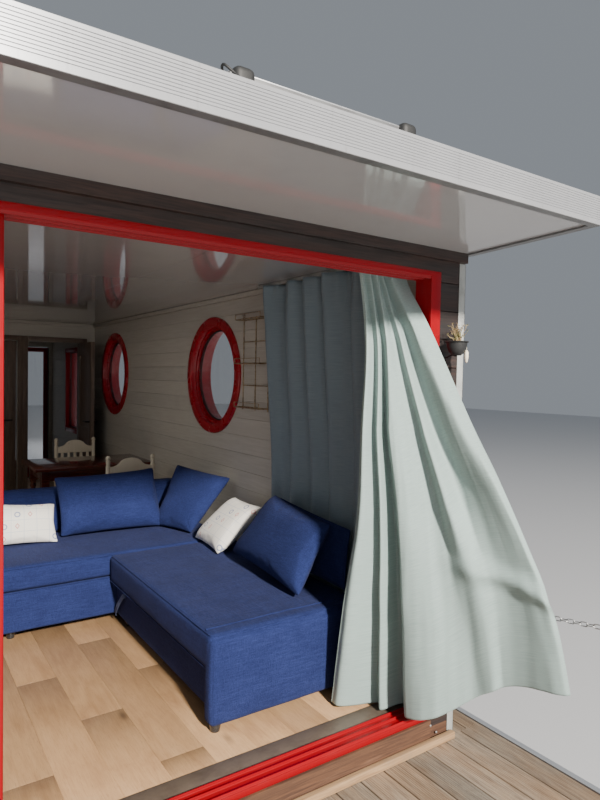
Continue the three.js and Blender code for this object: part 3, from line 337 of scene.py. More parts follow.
# Timber
def grain(f, along, tone, length=18.0, fine=110.0):
    scale = [fine / length if name == along else fine for name in "xyz"]
    lines = f.noise(1.0, 5, 0.6, f.stretched(tuple(scale)), 0.4)
    broad = f.noise(1.0, 3, 0.5, f.stretched(tuple(s * 0.14 for s in scale)), 0.8)
    light, dark = tone
    return f.mix(broad.within(0.3, 0.75) * 0.55, f.mix(lines.within(0.3, 0.72), light, dark), dark), lines


def deckWood():
    f = Finish("deckWood", (0.25, 0.2, 0.15), 0.78)
    board = floorOf((f.axis("x") + halfDeck) / boardPitch)
    pick = f.perBoard(board, 3.0)
    wood, lines = grain(f, "y", ((0.34, 0.25, 0.17), (0.17, 0.115, 0.075)))
    grey = f.mix(lines.within(0.35, 0.7), (0.30, 0.26, 0.21), (0.17, 0.145, 0.12))
    weathered = f.mix(f.noise(1.7, 5, 0.7, f.stretched((2, 0.6, 1))).within(0.35, 0.65), wood, grey)
    shade = f.mix(pick, (0.72, 0.72, 0.72), (1.18, 1.12, 1.06))
    dirt = f.noise(6, 6, 0.75).within(0.55, 0.75)
    f.colour(f.mix(dirt * 0.35, f.mix(1.0, weathered, shade, "MULTIPLY"), (0.10, 0.085, 0.07)))
    f.set("Roughness", lines * 0.2 + 0.62)
    return f.bump(lines, 0.0008, 0.5)


plankSize = {"width": 0.19, "length": 1.28, "stagger": 0.37}


def oakPlank():
    f = Finish("oakPlank", (0.5, 0.34, 0.2), 0.42)
    at = f.node("ShaderNodeSeparateXYZ", {}, (f.place,), "X")
    column = floorOf((at - floorLow.x) / plankSize["width"])
    shift = fraction(column * plankSize["stagger"])
    plank = column * 13.0 + floorOf((at.get("Y") - floorLow.y) / plankSize["length"] + shift)
    pick, other = f.perBoard(plank), f.perBoard(plank, 5.0)
    away = f.node("ShaderNodeCombineXYZ", {}, (pick * 7.0, other * 31.0, 0.0))
    moved = f.node("ShaderNodeVectorMath", {"operation": "ADD"}, (f.place, away))
    wide = f.streaks((11, 1.5, 1), 4, 0.55, 2.2, moved)
    cloudy = f.streaks((5, 3.2, 1), 3, 0.5, 0.8, moved)
    lines = f.streaks((170, 8, 1), 6, 0.7, 0.5, moved)
    pores = f.streaks((520, 26, 1), 3, 0.6, 0.0, moved).within(0.57, 0.70)
    knots = f.cells(1.0, f.stretched((4.6, 1.9, 0.2), source=moved)).within(0.13, 0.015)
    base = f.ramp(wide * 0.6 + cloudy * 0.4, [(0.30, (0.455, 0.292, 0.158)), (0.5, (0.405, 0.250, 0.131)),
                                              (0.68, (0.315, 0.184, 0.094))])
    toned = f.mix(1.0, base, f.mix(pick, (0.93, 0.92, 0.90), (1.06, 1.05, 1.03)), "MULTIPLY")
    lined = f.mix(lines.within(0.40, 0.78) * 0.55, toned, (0.24, 0.135, 0.07))
    f.colour(f.mix(knots * 0.75, f.mix(pores * 0.55, lined, (0.17, 0.10, 0.055)), (0.085, 0.05, 0.03)))
    f.set("Roughness", lines * 0.18 + 0.34)
    return f.bump(lines * 0.4 - pores, 0.0004, 0.5)


def boardPaint(name, base, dark, pitch, start, along="y"):
    f = Finish(name, base, 0.55)
    board = floorOf((f.axis("z") - start) / pitch)
    pick = f.perBoard(board, 1.7)
    toned, lines = grain(f, along, (base, dark), 22.0, 90.0)
    shade = f.mix(pick, (0.93, 0.93, 0.93), (1.06, 1.06, 1.05))
    grime = f.noise(2.5, 6, 0.7).within(0.5, 0.78)
    f.colour(f.mix(grime * 0.2, f.mix(1.0, toned, shade, "MULTIPLY"), tuple(c * 0.6 for c in base)))
    f.set("Roughness", lines * 0.15 + 0.48)
    return f.bump(lines, 0.0005, 0.35)


def darkBoards():
    f = Finish("darkBoards", (0.05, 0.035, 0.03), 0.62)
    z = f.axis("z")
    pick = f.perBoard(floorOf((z - claddingStart) / claddingPitch), 5.0)
    lines = f.streaks((6, 6, 120), 5, 0.6, 0.5)
    patch = f.streaks((1.2, 1.2, 14), 4, 0.6, 0.6)
    brown = f.mix(lines.within(0.3, 0.7), (0.041, 0.023, 0.018), (0.016, 0.010, 0.010))
    grey = f.mix(lines.within(0.3, 0.7), (0.031, 0.026, 0.027), (0.014, 0.013, 0.013))
    shade = f.mix(pick, (0.8, 0.8, 0.8), (1.3, 1.2, 1.15))
    f.colour(f.mix(1.0, f.mix(patch.within(0.3, 0.7), brown, grey), shade, "MULTIPLY"))
    f.set("Roughness", lines * 0.2 + 0.5)
    return f.bump(lines, 0.0008, 0.5)


def sawnRedwood():  # the board under the sill
    f = Finish("sawnRedwood", (0.2, 0.09, 0.05), 0.7)
    lines = f.streaks((4, 1, 130), 6, 0.65, 0.5)
    saw = f.streaks((160, 1, 14), 2, 0.5)
    base = f.mix(lines.within(0.3, 0.7), (0.135, 0.064, 0.034), (0.058, 0.028, 0.018))
    pale = f.streaks((1.5, 1, 22), 5, 0.7).within(0.58, 0.7)
    f.colour(f.mix(pale * 0.4, base, (0.23, 0.13, 0.08)))
    return f.bump(lines + saw * 0.4, 0.0012, 0.6)


def palePine():
    f = Finish("palePine", (0.6, 0.42, 0.24), 0.68)
    tone, lines = grain(f, "x", ((0.46, 0.305, 0.17), (0.29, 0.175, 0.092)))
    dirt = f.noise(8, 6, 0.7).within(0.5, 0.7)
    f.colour(f.mix(dirt * 0.45, tone, (0.27, 0.20, 0.14)))
    return f.bump(lines, 0.0008, 0.5)


def mahogany():
    f = Finish("mahogany", (0.1, 0.02, 0.012), 0.22, Coat_Weight=0.6, Coat_Roughness=0.06)
    tone, lines = grain(f, "x", ((0.135, 0.028, 0.016), (0.045, 0.010, 0.008)))
    f.colour(tone)
    return f.bump(lines, 0.0003, 0.25)


def taupeWood():
    f = Finish("taupeWood", (0.16, 0.12, 0.09), 0.5)
    tone, lines = grain(f, "z", ((0.185, 0.135, 0.105), (0.105, 0.075, 0.058)))
    f.colour(tone)
    f.set("Roughness", lines * 0.2 + 0.4)
    return f.bump(lines, 0.0004, 0.35)


def creamEnamel():
    f = Finish("creamEnamel", (0.72, 0.66, 0.52), 0.4)
    worn = f.noise(14, 6, 0.7).within(0.62, 0.72)
    streak = f.streaks((60, 60, 5), 4, 0.6).within(0.4, 0.8)
    f.colour(f.mix(worn * 0.5, f.mix(streak * 0.35, (0.76, 0.70, 0.56), (0.62, 0.55, 0.42)),
                   (0.35, 0.25, 0.16)))
    return f.bump(streak, 0.0004, 0.3)


# Cloth
def linen(name, deep, pale):
    f = Finish(name, deep, 0.93, Sheen_Weight=0.02, Specular_IOR_Level=0.12)
    warp = f.streaks((900, 900, 26), 4, 0.65)
    weft = f.streaks((30, 800, 800), 4, 0.65)
    third = f.streaks((800, 30, 800), 4, 0.65)
    slub = (warp + weft + third).within(1.25, 1.85)
    coarse = (f.streaks((9, 150, 150), 3, 0.6) + f.streaks((150, 9, 150), 3, 0.6)).within(0.85, 1.25)
    worn = f.noise(5, 4, 0.6).within(0.35, 0.8)
    tone = f.mix(slub * 0.75, deep, pale)
    f.colour(f.mix(worn * 0.3, f.mix(coarse * 0.35, tone, pale), tuple(c * 0.75 for c in deep)))
    return f.bump(slub + coarse * 0.5, 0.0008, 0.7)


def printedLinen():  # off-white with a thin check and small rings and lozenges
    f = Finish("printedLinen", (0.80, 0.78, 0.72), 0.92, Sheen_Weight=0.15)
    _, u, v = f.chart("face")
    pitch = 0.075
    cellU, cellV = fraction(u / pitch), fraction(v / pitch)
    line = cellU.below(0.045).math("MAXIMUM", cellV.below(0.045))
    across, up = (cellU - 0.5).math("ABSOLUTE"), (cellV - 0.5).math("ABSOLUTE")
    ringAt = ((across * across + up * up).math("SQRT") - 0.2).math("ABSOLUTE").below(0.045)
    lozenge = ((across * 1.4 + up) - 0.2).math("ABSOLUTE").below(0.05)
    column, row = floorOf(u / pitch), floorOf(v / pitch)
    kind = fraction((column * 2.0 + row * 3.0) / 5.0)
    rings = ringAt * kind.below(0.1)
    diamonds = lozenge * kind.above(0.3) * kind.below(0.5)
    weave = f.streaks((500, 500, 500), 3, 0.6)
    cloth = f.mix(weave, (0.74, 0.72, 0.66), (0.86, 0.84, 0.78))
    f.colour(f.mix(diamonds * 0.8, f.mix(rings * 0.8, f.mix(line * 0.45, cloth, (0.30, 0.38, 0.52)),
                                         (0.10, 0.16, 0.36)), (0.55, 0.10, 0.10)))
    return f.bump(weave, 0.0006, 0.5)


def satin(name, base, shade):
    f = Finish(name, base, 0.55, Sheen_Weight=0.08, Sheen_Tint=(0.9, 1.0, 0.98, 1.0), Specular_IOR_Level=0.3)
    chart, u, v = f.chart("cloth")
    zigzag = (fraction(u / 0.02) - 0.5).math("ABSOLUTE") * 0.04
    twill = ((v + zigzag) / 0.0035 * math.tau).math("SINE")
    slub = f.streaks((12, 340, 1), 4, 0.6, 0.0, chart)
    f.colour(f.mix(slub.within(0.3, 0.75), base, shade))
    f.set("Roughness", slub * 0.15 + 0.48)
    return f.bump(twill * 0.5 + slub, 0.0004, 0.5)


# The rest
def clearGlass(name="clearGlass", alpha=0.2):
    f = Finish(name, (0.16, 0.19, 0.20), 0.03, IOR=2.2, Alpha=alpha)
    smear = f.noise(3, 5, 0.6).within(0.45, 0.8)
    f.set("Roughness", smear * 0.06 + 0.02)
    return f.material


def blackRubber():
    f = Finish("blackRubber", (0.02, 0.02, 0.021), 0.6)
    f.colour(f.mix(f.noise(20, 5), (0.010, 0.011, 0.012), (0.024, 0.025, 0.026)))
    return f.bump(f.noise(400, 2), 0.0003, 0.5)


def engineEnamel():
    f = Finish("engineEnamel", (0.022, 0.024, 0.028), 0.28, 0.2, Coat_Weight=0.6, Coat_Roughness=0.08)
    dust = f.noise(9, 6, 0.7).within(0.5, 0.75)
    f.colour(f.mix(dust * 0.35, (0.020, 0.022, 0.026), (0.10, 0.10, 0.095)))
    f.set("Roughness", dust * 0.3 + 0.24)
    return f.material


def castAlloy():
    f = Finish("castAlloy", (0.5, 0.51, 0.52), 0.38, 0.9)
    wear = f.noise(14, 5, 0.7).within(0.4, 0.7)
    f.colour(f.mix(wear, (0.58, 0.59, 0.60), (0.30, 0.30, 0.30)))
    return f.bump(f.noise(160, 3), 0.0004, 0.5)


def brassWire():
    f = Finish("brassWire", (0.52, 0.40, 0.24), 0.36, 0.85)
    f.colour(f.mix(f.noise(60, 4).within(0.4, 0.7), (0.58, 0.45, 0.28), (0.26, 0.18, 0.10)))
    return f.bump(f.noise(300, 2), 0.0003, 0.4)


def solarCells():
    f = Finish("solarCells", (0.008, 0.012, 0.030), 0.12, 0.3, Coat_Weight=1.0, Coat_Roughness=0.03)
    x, y = f.axis("x"), f.axis("y")
    pick = f.perBoard(floorOf(x / 0.105) * 17.0 + floorOf(y / 0.12), 2.0)
    thread = fraction(x / 0.0035).below(0.16)
    cell = f.mix(pick, (0.006, 0.010, 0.026), (0.013, 0.020, 0.046))
    f.colour(f.mix(thread * 0.35, cell, (0.10, 0.12, 0.16)))
    return f.material


def dryPlant():
    f = Finish("dryPlant", (0.30, 0.20, 0.10), 0.85)
    f.colour(f.ramp(f.noise(35, 3), [(0.3, (0.16, 0.10, 0.05)), (0.5, (0.36, 0.26, 0.14)),
                                     (0.7, (0.20, 0.24, 0.09))]))
    return f.bump(f.noise(200, 2), 0.0005, 0.5)


def paleFloor():
    f = Finish("paleFloor", (0.56, 0.57, 0.59), 0.6)
    return f.bump(f.noise(30, 2), 0.0005, 0.2)


halfDeck = halfBeam - 0.03
deckBoards = 33
boardPitch = 2 * halfDeck / deckBoards
claddingPitch = 0.130
claddingStart = deckZ + 0.071
innerPitch = 0.125
innerStart = floorZ + 0.02
red, redInside, hull, zinc = glossRed(), deepRed(), hullPaint(), zincSteel()
alloy, fasciaMetal, cornerGrey = brushedAlloy(), fasciaAlloy(), greyTrim()
panelGloss, skinGrey = glossPanel(), roofSkin()
lipGrey = greyTrim("lipGrey", (0.16, 0.165, 0.17), (0.10, 0.10, 0.105))
sillGrey = greyTrim("sillGrey", (0.150, 0.115, 0.088), (0.095, 0.070, 0.053))
decking, oak, cladding, redwood, pine = deckWood(), oakPlank(), darkBoards(), sawnRedwood(), palePine()
cream = boardPaint("creamBoards", (0.54, 0.52, 0.47), (0.47, 0.445, 0.395), innerPitch, innerStart)
creamAcross = boardPaint("creamAcross", (0.52, 0.50, 0.45), (0.45, 0.425, 0.375), innerPitch, innerStart, "x")
darkRed, doorBrown, enamel = mahogany(), taupeWood(), creamEnamel()
blue = linen("blueLinen", (0.0093, 0.0150, 0.067), (0.037, 0.0555, 0.190))
whitePrint = printedLinen()
sage = satin("sageSatin", (0.335, 0.435, 0.42), (0.265, 0.35, 0.34))
# the inner curtain's satin is a darker, bluer copy of the outer satin: painted shade
sageInnerPaintedShade = satin("sageShade", (0.22, 0.285, 0.33), (0.17, 0.225, 0.265))
glass, doorGlass, rubber, black = clearGlass(), clearGlass("doorGlass", 0.12), blackRubber(), engineEnamel()
cast, wire, cellsBlue, plant = castAlloy(), brassWire(), solarCells(), dryPlant()
print("finishes ready")


# Mesh helpers
def addObject(name, mesh):
    obj = bpy.data.objects.new(name, mesh)
    bpy.context.scene.collection.objects.link(obj)
    return obj


def meshFrom(name, points, faces):
    mesh = bpy.data.meshes.new(name)
    mesh.from_pydata([tuple(p) for p in points], [], faces)
    mesh.validate()
    return addObject(name, mesh)


def fromBm(name, bm, smooth=40, outward=False):
    if outward:
        bmesh.ops.recalc_face_normals(bm, faces=bm.faces)
    mesh = bpy.data.meshes.new(name)
    bm.to_mesh(mesh)
    bm.free()
    obj = addObject(name, mesh)
    if smooth:
        soften(obj, smooth)
    return obj


def turnedOut(obj):  # faces point outwards and are smooth
    bm = bmesh.new()
    bm.from_mesh(obj.data)
    bmesh.ops.recalc_face_normals(bm, faces=bm.faces)
    bm.to_mesh(obj.data)
    bm.free()
    obj.data.shade_smooth()
    return obj


def soften(obj, angle):
    obj.data.shade_smooth()
    obj.data.set_sharp_from_angle(angle=math.radians(angle))


def evaluated(obj):
    graph = bpy.context.evaluated_depsgraph_get()
    graph.update()
    return bpy.data.meshes.new_from_object(obj.evaluated_get(graph))


def baked(obj):  # the evaluated mesh, with nothing live left on it
    mesh = evaluated(obj)
    obj.modifiers.clear()
    obj.data = mesh
    return obj


def painted(obj, *materials):
    for material in materials:
        obj.data.materials.append(material)
    return obj


def finished(obj, material, slot, *nodes, body="boat"):
    if material is not None:
        obj.data.materials.clear()
        obj.data.materials.append(material)
    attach(obj, body)
    if nodes:
        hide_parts(*nodes)
    return obj


def joined(name, objects):
    for obj in objects:
        obj.select_set(False)
    bpy.context.view_layer.update()
    with bpy.context.temp_override(active_object=objects[0], selected_editable_objects=objects,
                                   selected_objects=objects):
        bpy.ops.object.join()
    objects[0].name = name
    objects[0].data.name = name
    return objects[0]


def copyOf(node, name):
    mesh = frame["nodes"][node].data.copy()
    obj = addObject(name, mesh)
    bm = bmesh.new()
    bm.from_mesh(mesh)
    bmesh.ops.remove_doubles(bm, verts=bm.verts, dist=1e-5)
    flat = math.radians(0.5)
    bmesh.ops.dissolve_limit(bm, angle_limit=flat, verts=bm.verts, edges=bm.edges)
    bm.to_mesh(mesh)
    bm.free()
    mesh.materials.clear()
    return obj


def bevelled(obj, width, segments=2, angle=35):
    modifier = obj.modifiers.new("bevel", "BEVEL")
    modifier.width = width
    modifier.segments = segments
    modifier.limit_method = "ANGLE"
    modifier.angle_limit = math.radians(angle)
    baked(obj)
    soften(obj, 38)
    return obj


def refined(node, name, width, material, slot, segments=2, body="boat"):
    return finished(bevelled(copyOf(node, name), width, segments), material, slot, node, body=body)


def addBox(bm, lo, hi):
    lo, hi = Vector(lo), Vector(hi)
    place = Matrix.Translation((lo + hi) / 2) @ Matrix.Diagonal((*(hi - lo), 1.0))
    bmesh.ops.create_cube(bm, size=1.0, matrix=place)


def boxes(name, spans, bevel=0.0):
    bm = bmesh.new()
    for lo, hi in spans:
        addBox(bm, lo, hi)
    obj = fromBm(name, bm, 0)
    return bevelled(obj, bevel) if bevel else obj


def fourBars(lo, hi, across, up, edge, gap):  # a rectangle of bars: two whole ones, and two between them
    def bar(across0, across1, up0, up1):
        start, end = list(lo), list(hi)
        start[across], end[across], start[up], end[up] = across0, across1, up0, up1
        return start, end

    inner = edge + gap
    return [bar(lo[across], lo[across] + edge, lo[up], hi[up]),
            bar(hi[across] - edge, hi[across], lo[up], hi[up]),
            bar(lo[across] + inner, hi[across] - inner, lo[up], lo[up] + edge),
            bar(lo[across] + inner, hi[across] - inner, hi[up] - edge, hi[up])]


def skin(bm, rings, closed=False):  # faces between rings of points, and over both ends
    rings = [[bm.verts.new(p) for p in ring] for ring in rings]
    for a, b in zip(rings, rings[1:] + (rings[:1] if closed else [])):
        for k in range(len(a)):
            m = (k + 1) % len(a)
            bm.faces.new((a[k], a[m], b[m], b[k]))
    if not closed:
        bm.faces.new(rings[0][::-1])
        bm.faces.new(rings[-1])


def tube(bm, path, radius, sides, closed=False):
    path = [Vector(p) for p in path]
    count = len(path)
    turns = [k * math.tau / sides for k in range(sides)]
    rings = []
    normal = None
    for i, point in enumerate(path):
        before = path[i - 1] if closed or i else point
        after = path[(i + 1) % count] if closed or i < count - 1 else point
        along = (after - before).normalized()
        if normal is None:
            normal = along.cross(Vector((0.31, 0.17, 0.93))).normalized()
        normal = (normal - along * normal.dot(along)).normalized()
        other = along.cross(normal)
        size = radius(i / max(count - 1, 1)) if callable(radius) else radius
        rings.append([point + (normal * math.cos(t) + other * math.sin(t)) * size for t in turns])
    skin(bm, rings, closed)


def lathe(bm, profile, centre, axis, segments, material=0):
    closed = profile[0] == profile[-1]
    points = profile[:-1] if closed else profile
    turn = {"z": Matrix.Identity(3), "x": Matrix.Rotation(math.pi / 2, 3, "Y"),
            "y": Matrix.Rotation(-math.pi / 2, 3, "X")}[axis]
    rings = []
    for radius, depth in points:
        ring = []
        for k in range(segments):
            t = k * math.tau / segments
            spot = Vector((radius * math.cos(t), radius * math.sin(t), depth))
            ring.append(bm.verts.new(Vector(centre) + turn @ spot))
            if radius < 1e-6:
                break
        rings.append(ring)
    pairs = list(zip(rings, rings[1:])) + ([(rings[-1], rings[0])] if closed else [])
    made = []
    for a, b in pairs:
        for k in range(segments):
            m = (k + 1) % segments
            corners = [a[k % len(a)], a[m % len(a)], b[m % len(b)], b[k % len(b)]]
            unique = list(dict.fromkeys(corners))
            if len(unique) > 2:
                made.append(bm.faces.new(unique))
                made[-1].material_index = material
    bmesh.ops.recalc_face_normals(bm, faces=made)


# Geometry Nodes: a row of one item along a step, and items along a curve
class Nodes(Graph):
    def __init__(self, name, **sockets):
        tree = bpy.data.node_groups.new(name, "GeometryNodeTree")
        super().__init__(tree)
        self.ids = {}
        tree.interface.new_socket("Geometry", in_out="INPUT", socket_type="NodeSocketGeometry")
        for label, kind in sockets.items():
            made = tree.interface.new_socket(label, in_out="INPUT", socket_type="NodeSocket" + kind)
            self.ids[label] = made.identifier
        tree.interface.new_socket("Geometry", in_out="OUTPUT", socket_type="NodeSocketGeometry")
        self.entry = self.node("NodeGroupInput")

    def read(self, label):
        return self.entry.get(label)

    def close(self, points, **turn):  # the item on every point, realized and painted
        item = self.node("GeometryNodeObjectInfo", {"transform_space": "ORIGINAL"},
                         {"Object": self.read("Item")}, "Geometry")
        items = self.node("GeometryNodeInstanceOnPoints", {}, {"Points": points, "Instance": item, **turn})
        whole = self.node("GeometryNodeRealizeInstances", {}, (items,))
        painted = self.node("GeometryNodeSetMaterial", {},
                            {"Geometry": whole, "Material": self.read("Material")})
        end = self.tree.nodes.new("NodeGroupOutput")
        self.tree.links.new(painted.socket, end.inputs[0])
        return self


def rowNodes():
    g = Nodes("rowOfItems", Item="Object", Count="Int", Start="Vector", Step="Vector", Material="Material")
    return g.close(g.node("GeometryNodeMeshLine", {"mode": "OFFSET"}, {
        "Count": g.read("Count"), "Start Location": g.read("Start"), "Offset": g.read("Step")}))


def pathNodes():
    g = Nodes("itemsAlongPath", Item="Object", Spacing="Float", Twist="Float", Material="Material")
    spaced = g.node("GeometryNodeResampleCurve", {"mode": "LENGTH"}, {
        "Curve": g.read("Geometry"), "Length": g.read("Spacing")})
    along = g.node("FunctionNodeAlignEulerToVector", {"axis": "X"},
                   {"Vector": g.node("GeometryNodeInputTangent")})
    order = g.node("GeometryNodeInputIndex")
    turn = g.node("ShaderNodeCombineXYZ", {}, (order * g.read("Twist"), 0.0, 0.0))
    both = g.node("FunctionNodeRotateEuler", {"space": "LOCAL"}, {"Rotation": along, "Rotate By": turn})
    return g.close(spaced, Rotation=both)


rowTree, pathTree = rowNodes(), pathNodes()


def grown(name, tree, item, carrier=None, **values):
    obj = carrier or addObject(name, bpy.data.meshes.new(name))
    modifier = obj.modifiers.new("items", "NODES")
    modifier.node_group = tree.tree
    modifier[tree.ids["Item"]] = item
    for label, value in values.items():
        modifier[tree.ids[label]] = value
    mesh = evaluated(obj)
    bpy.data.objects.remove(obj)
    return addObject(name, mesh)


def row(name, item, count, start, step, material):
    return grown(name, rowTree, item, Count=count, Start=start, Step=step, Material=material)


def alongPath(name, item, points, spacing, twist, material):
    curve = bpy.data.curves.new(name + "Path", "CURVE")
    curve.dimensions = "3D"
    spline = curve.splines.new("POLY")
    spline.points.add(len(points) - 1)
    for slot, point in zip(spline.points, points):
        slot.co = (*point, 1.0)
    return grown(name, pathTree, item, addObject(name + "Path", curve), Spacing=spacing, Twist=twist,
                 Material=material)


def dropped(*objects):
    for obj in objects:
        bpy.data.objects.remove(obj)


def copies(name, item, spots, smooth):  # one mesh with the item at every spot
    bm = bmesh.new()
    for spot in spots:
        start = len(bm.verts)
        bm.from_mesh(item.data)
        bm.verts.ensure_lookup_table()
        bmesh.ops.translate(bm, verts=bm.verts[start:], vec=spot)
    dropped(item)
    return fromBm(name, bm, smooth)


# Camera, floor and light
cameraView = {"eye": (-0.290, -5.357, 2.548), "right": (0.82613, -0.56312, 0.01954),
              "up": (0.00392, 0.04041, 0.99911), "ahead": (0.5634, 0.8254, -0.0356), "lens": 27.53}


def setCamera(view):
    data = bpy.data.cameras.new("camera")
    data.sensor_fit = "VERTICAL"
    data.sensor_height = 36.0
    data.lens = view["lens"]
    data.clip_start = 0.02
    data.clip_end = 200
    obj = addObject("camera", data)
    turn = Matrix([Vector(view["right"]), Vector(view["up"]), -Vector(view["ahead"])]).transposed().to_4x4()
    obj.matrix_world = Matrix.Translation(view["eye"]) @ turn
    bpy.context.scene.camera = obj


setCamera(cameraView)


def light(name, place, target, size, watts, colour):
    data = bpy.data.lights.new(name, "AREA")
    data.shape = "SQUARE"
    data.size = size
    data.energy = watts
    data.color = colour
    obj = addObject(name, data)
    obj.location = place
    obj.rotation_euler = (Vector(target) - Vector(place)).to_track_quat("-Z", "Y").to_euler()
    obj.visible_camera = False
    obj.visible_glossy = name == "keyLight"  # the fills leave no square mirror images


def setStage():
    world = bpy.data.worlds.new("studio")
    bpy.context.scene.world = world
    world.use_nodes = True
    back = world.node_tree.nodes["Background"]
    back.inputs["Color"].default_value = (0.80, 0.87, 0.96, 1.0)
    back.inputs["Strength"].default_value = 0.30
    half = 40.0
    corners = [(x * half, y * half, water) for x, y in ((-1, -1), (1, -1), (1, 1), (-1, 1))]
    floor = painted(meshFrom("studioFloor", corners, [(0, 1, 2, 3)]), paleFloor())
    light("keyLight", (-0.9, -19.0, 10.3), (0.2, -2.2, 1.2), 1.2, 9600, (1.0, 0.93, 0.84))
    light("softFill", (-3.0, -10.5, 3.5), (0.5, -2.0, 1.6), 5.0, 45, (0.92, 0.96, 1.0))
    light("sternFill", (3.5, 15.0, 6.5), (0.0, 3.0, 1.5), 5.0, 400, (0.95, 0.97, 1.0))
    light("roomFill", (-0.4, -0.6, 2.78), (0.4, -0.4, 0.7), 1.6, 12, (1.0, 0.97, 0.92))


setStage()


# Floats, deck frame and decking
sides = {"port": 1, "starboard": -1}


def dressHull():
    for side in sides:
        refined(f"float_{side}", f"floatShell_{side}", 0.012, hull, "hull_paint")
        lo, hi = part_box(f"float_{side}")
        seam = boxes("seamItem", [((lo.x - 0.002, -0.006, 0.34), (hi.x + 0.002, 0.006, hi.z - 0.03))], 0.003)
        seams = row(f"floatSeams_{side}", seam, 7, (0, lo.y + 1.5, 0), (0, 1.42, 0), hull)
        dropped(seam)
        finished(seams, None, "hull_paint")
    refined("deck_frame", "deckGrid", 0.003, zinc, "deck_steel")


boardForm = {"gap": 0.007, "top": 0.0225, "grooves": 11, "depth": 0.0016, "round": 0.003}


def boardSection(width):
    half, top = width / 2, boardForm["top"]
    ridge = (width - 0.012) / boardForm["grooves"]
    points = [(-half, 0.0), (-half, top - boardForm["round"]), (-half + 0.0015, top - 0.0006)]
    for k in range(boardForm["grooves"]):
        start = -half + 0.006 + k * ridge
        points += [(start + ridge * 0.12, top), (start + ridge * 0.52, top),
                   (start + ridge * 0.64, top - boardForm["depth"]),
                   (start + ridge * 0.98, top - boardForm["depth"])]
    points += [(half - 0.0015, top - 0.0006), (half, top - boardForm["round"]), (half, 0.0)]
    return points


def boardItem(width, y0, y1, base):
    bm = bmesh.new()
    skin(bm, [[(x, y, base + z) for x, z in boardSection(width)] for y in (y0, y1)])
    return fromBm("boardItem", bm, 25, True)


def deckField(name, node, width, count, start, step):  # boards side by side on a dark carrier, a black sheet that is painted shade in the gaps between them
    lo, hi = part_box(node)
    base = hi.z - boardForm["top"]
    board = boardItem(width, lo.y, hi.y, base)
    rows = row("rows", board, count, (start, 0, 0), (step, 0, 0), decking)
    # the black carrier shows in the board gaps as painted shade
    carrier = painted(boxes("carrier", [(lo, (hi.x, hi.y, base - 0.0005))]), rubber)
    dropped(board)
    finished(joined(name, [rows, carrier]), None, "deck_wood", node)


def dressDeck():
    for name, node in (("terraceBoards", "deck_front"), ("rearDeckBoards", "deck_rear")):
        deckField(name, node, boardPitch - boardForm["gap"], deckBoards, boardPitch / 2 - halfDeck,
                  boardPitch)
    for side in sides:  # two boards beside the cabin
        lo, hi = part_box(f"deck_side_{side}")
        width = (hi.x - lo.x - 0.006) / 2
        deckField(f"sideBoards_{side}", f"deck_side_{side}", width - 0.003, 2, lo.x + width / 2 + 0.001,
                  width + 0.004)
    refined("deck_batten", "pineBatten", 0.004, pine, "raw_pine")
    refined("deck_edge_trim", "edgeStrip", 0.0025, alloy, "trim_aluminium")


dressHull()
dressDeck()
print("hull and deck ready")


# Cabin walls: grooves are cut into a merged copy of the wall
def cutBy(obj, cutter):
    modifier = obj.modifiers.new("cut", "BOOLEAN")
    modifier.operation = "DIFFERENCE"
    modifier.solver = "EXACT"
    modifier.object = cutter
    baked(obj)
    dropped(cutter)
    return obj


def vGrooves(spans):  # each: axis the groove runs along, start, end, face coordinate, outward sign, z, size
    bm = bmesh.new()
    for along, start, end, face, sign, z, size in spans:
        section = [(face + sign * 0.004, z - size), (face + sign * 0.004, z + size), (face - sign * size, z)]
        skin(bm, [[(place, d, h) if along == "x" else (d, place, h) for d, h in section]
                  for place in (start, end)])
    return fromBm("grooves", bm, 0, True)


def boardLines(board, along, start, end, face, sign, low, high):  # the grooves of one face of a wall
    first = math.ceil((low - board["start"]) / board["pitch"])
    last = int((high - board["start"]) / board["pitch"])
    return [(along, start, end, face, sign, board["start"] + k * board["pitch"], board["groove"])
            for k in range(first, last + 1)]


def paintByFace(obj, rules, materials):
    painted(obj, *materials)
    for face in obj.data.polygons:
        face.material_index = rules(face.center, face.normal)


wallForm = {"crown": deckZ + 2.25, "sillBoard": deckZ + 0.115}
outerBoard = {"start": claddingStart, "pitch": claddingPitch, "groove": 0.0055}
innerBoard = {"start": innerStart, "pitch": innerPitch, "groove": 0.0035}


def sideWalls():
    middle = (innerX + halfCabin) / 2

    def rule(c, n):
        return 1 if abs(c.x) < middle and abs(n.z) < 0.9 or abs(c.x) < innerX + 0.02 else 0

    for side, sign in sides.items():
        node = f"side_wall_{side}"
        lo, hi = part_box(node)
        ends = "y", lo.y - 0.05, hi.y + 0.05
        outer = boardLines(outerBoard, *ends, sign * halfCabin, sign, lo.z + 0.03, hi.z - 0.03)
        inner = boardLines(innerBoard, *ends, sign * innerX, -sign, floorZ + 0.03, hi.z - 0.03)
        wall = cutBy(copyOf(node, f"sideWall_{side}"), vGrooves(outer + inner))
        paintByFace(wall, rule, [cladding, cream])
        finished(wall, None, "dark_cladding", node)


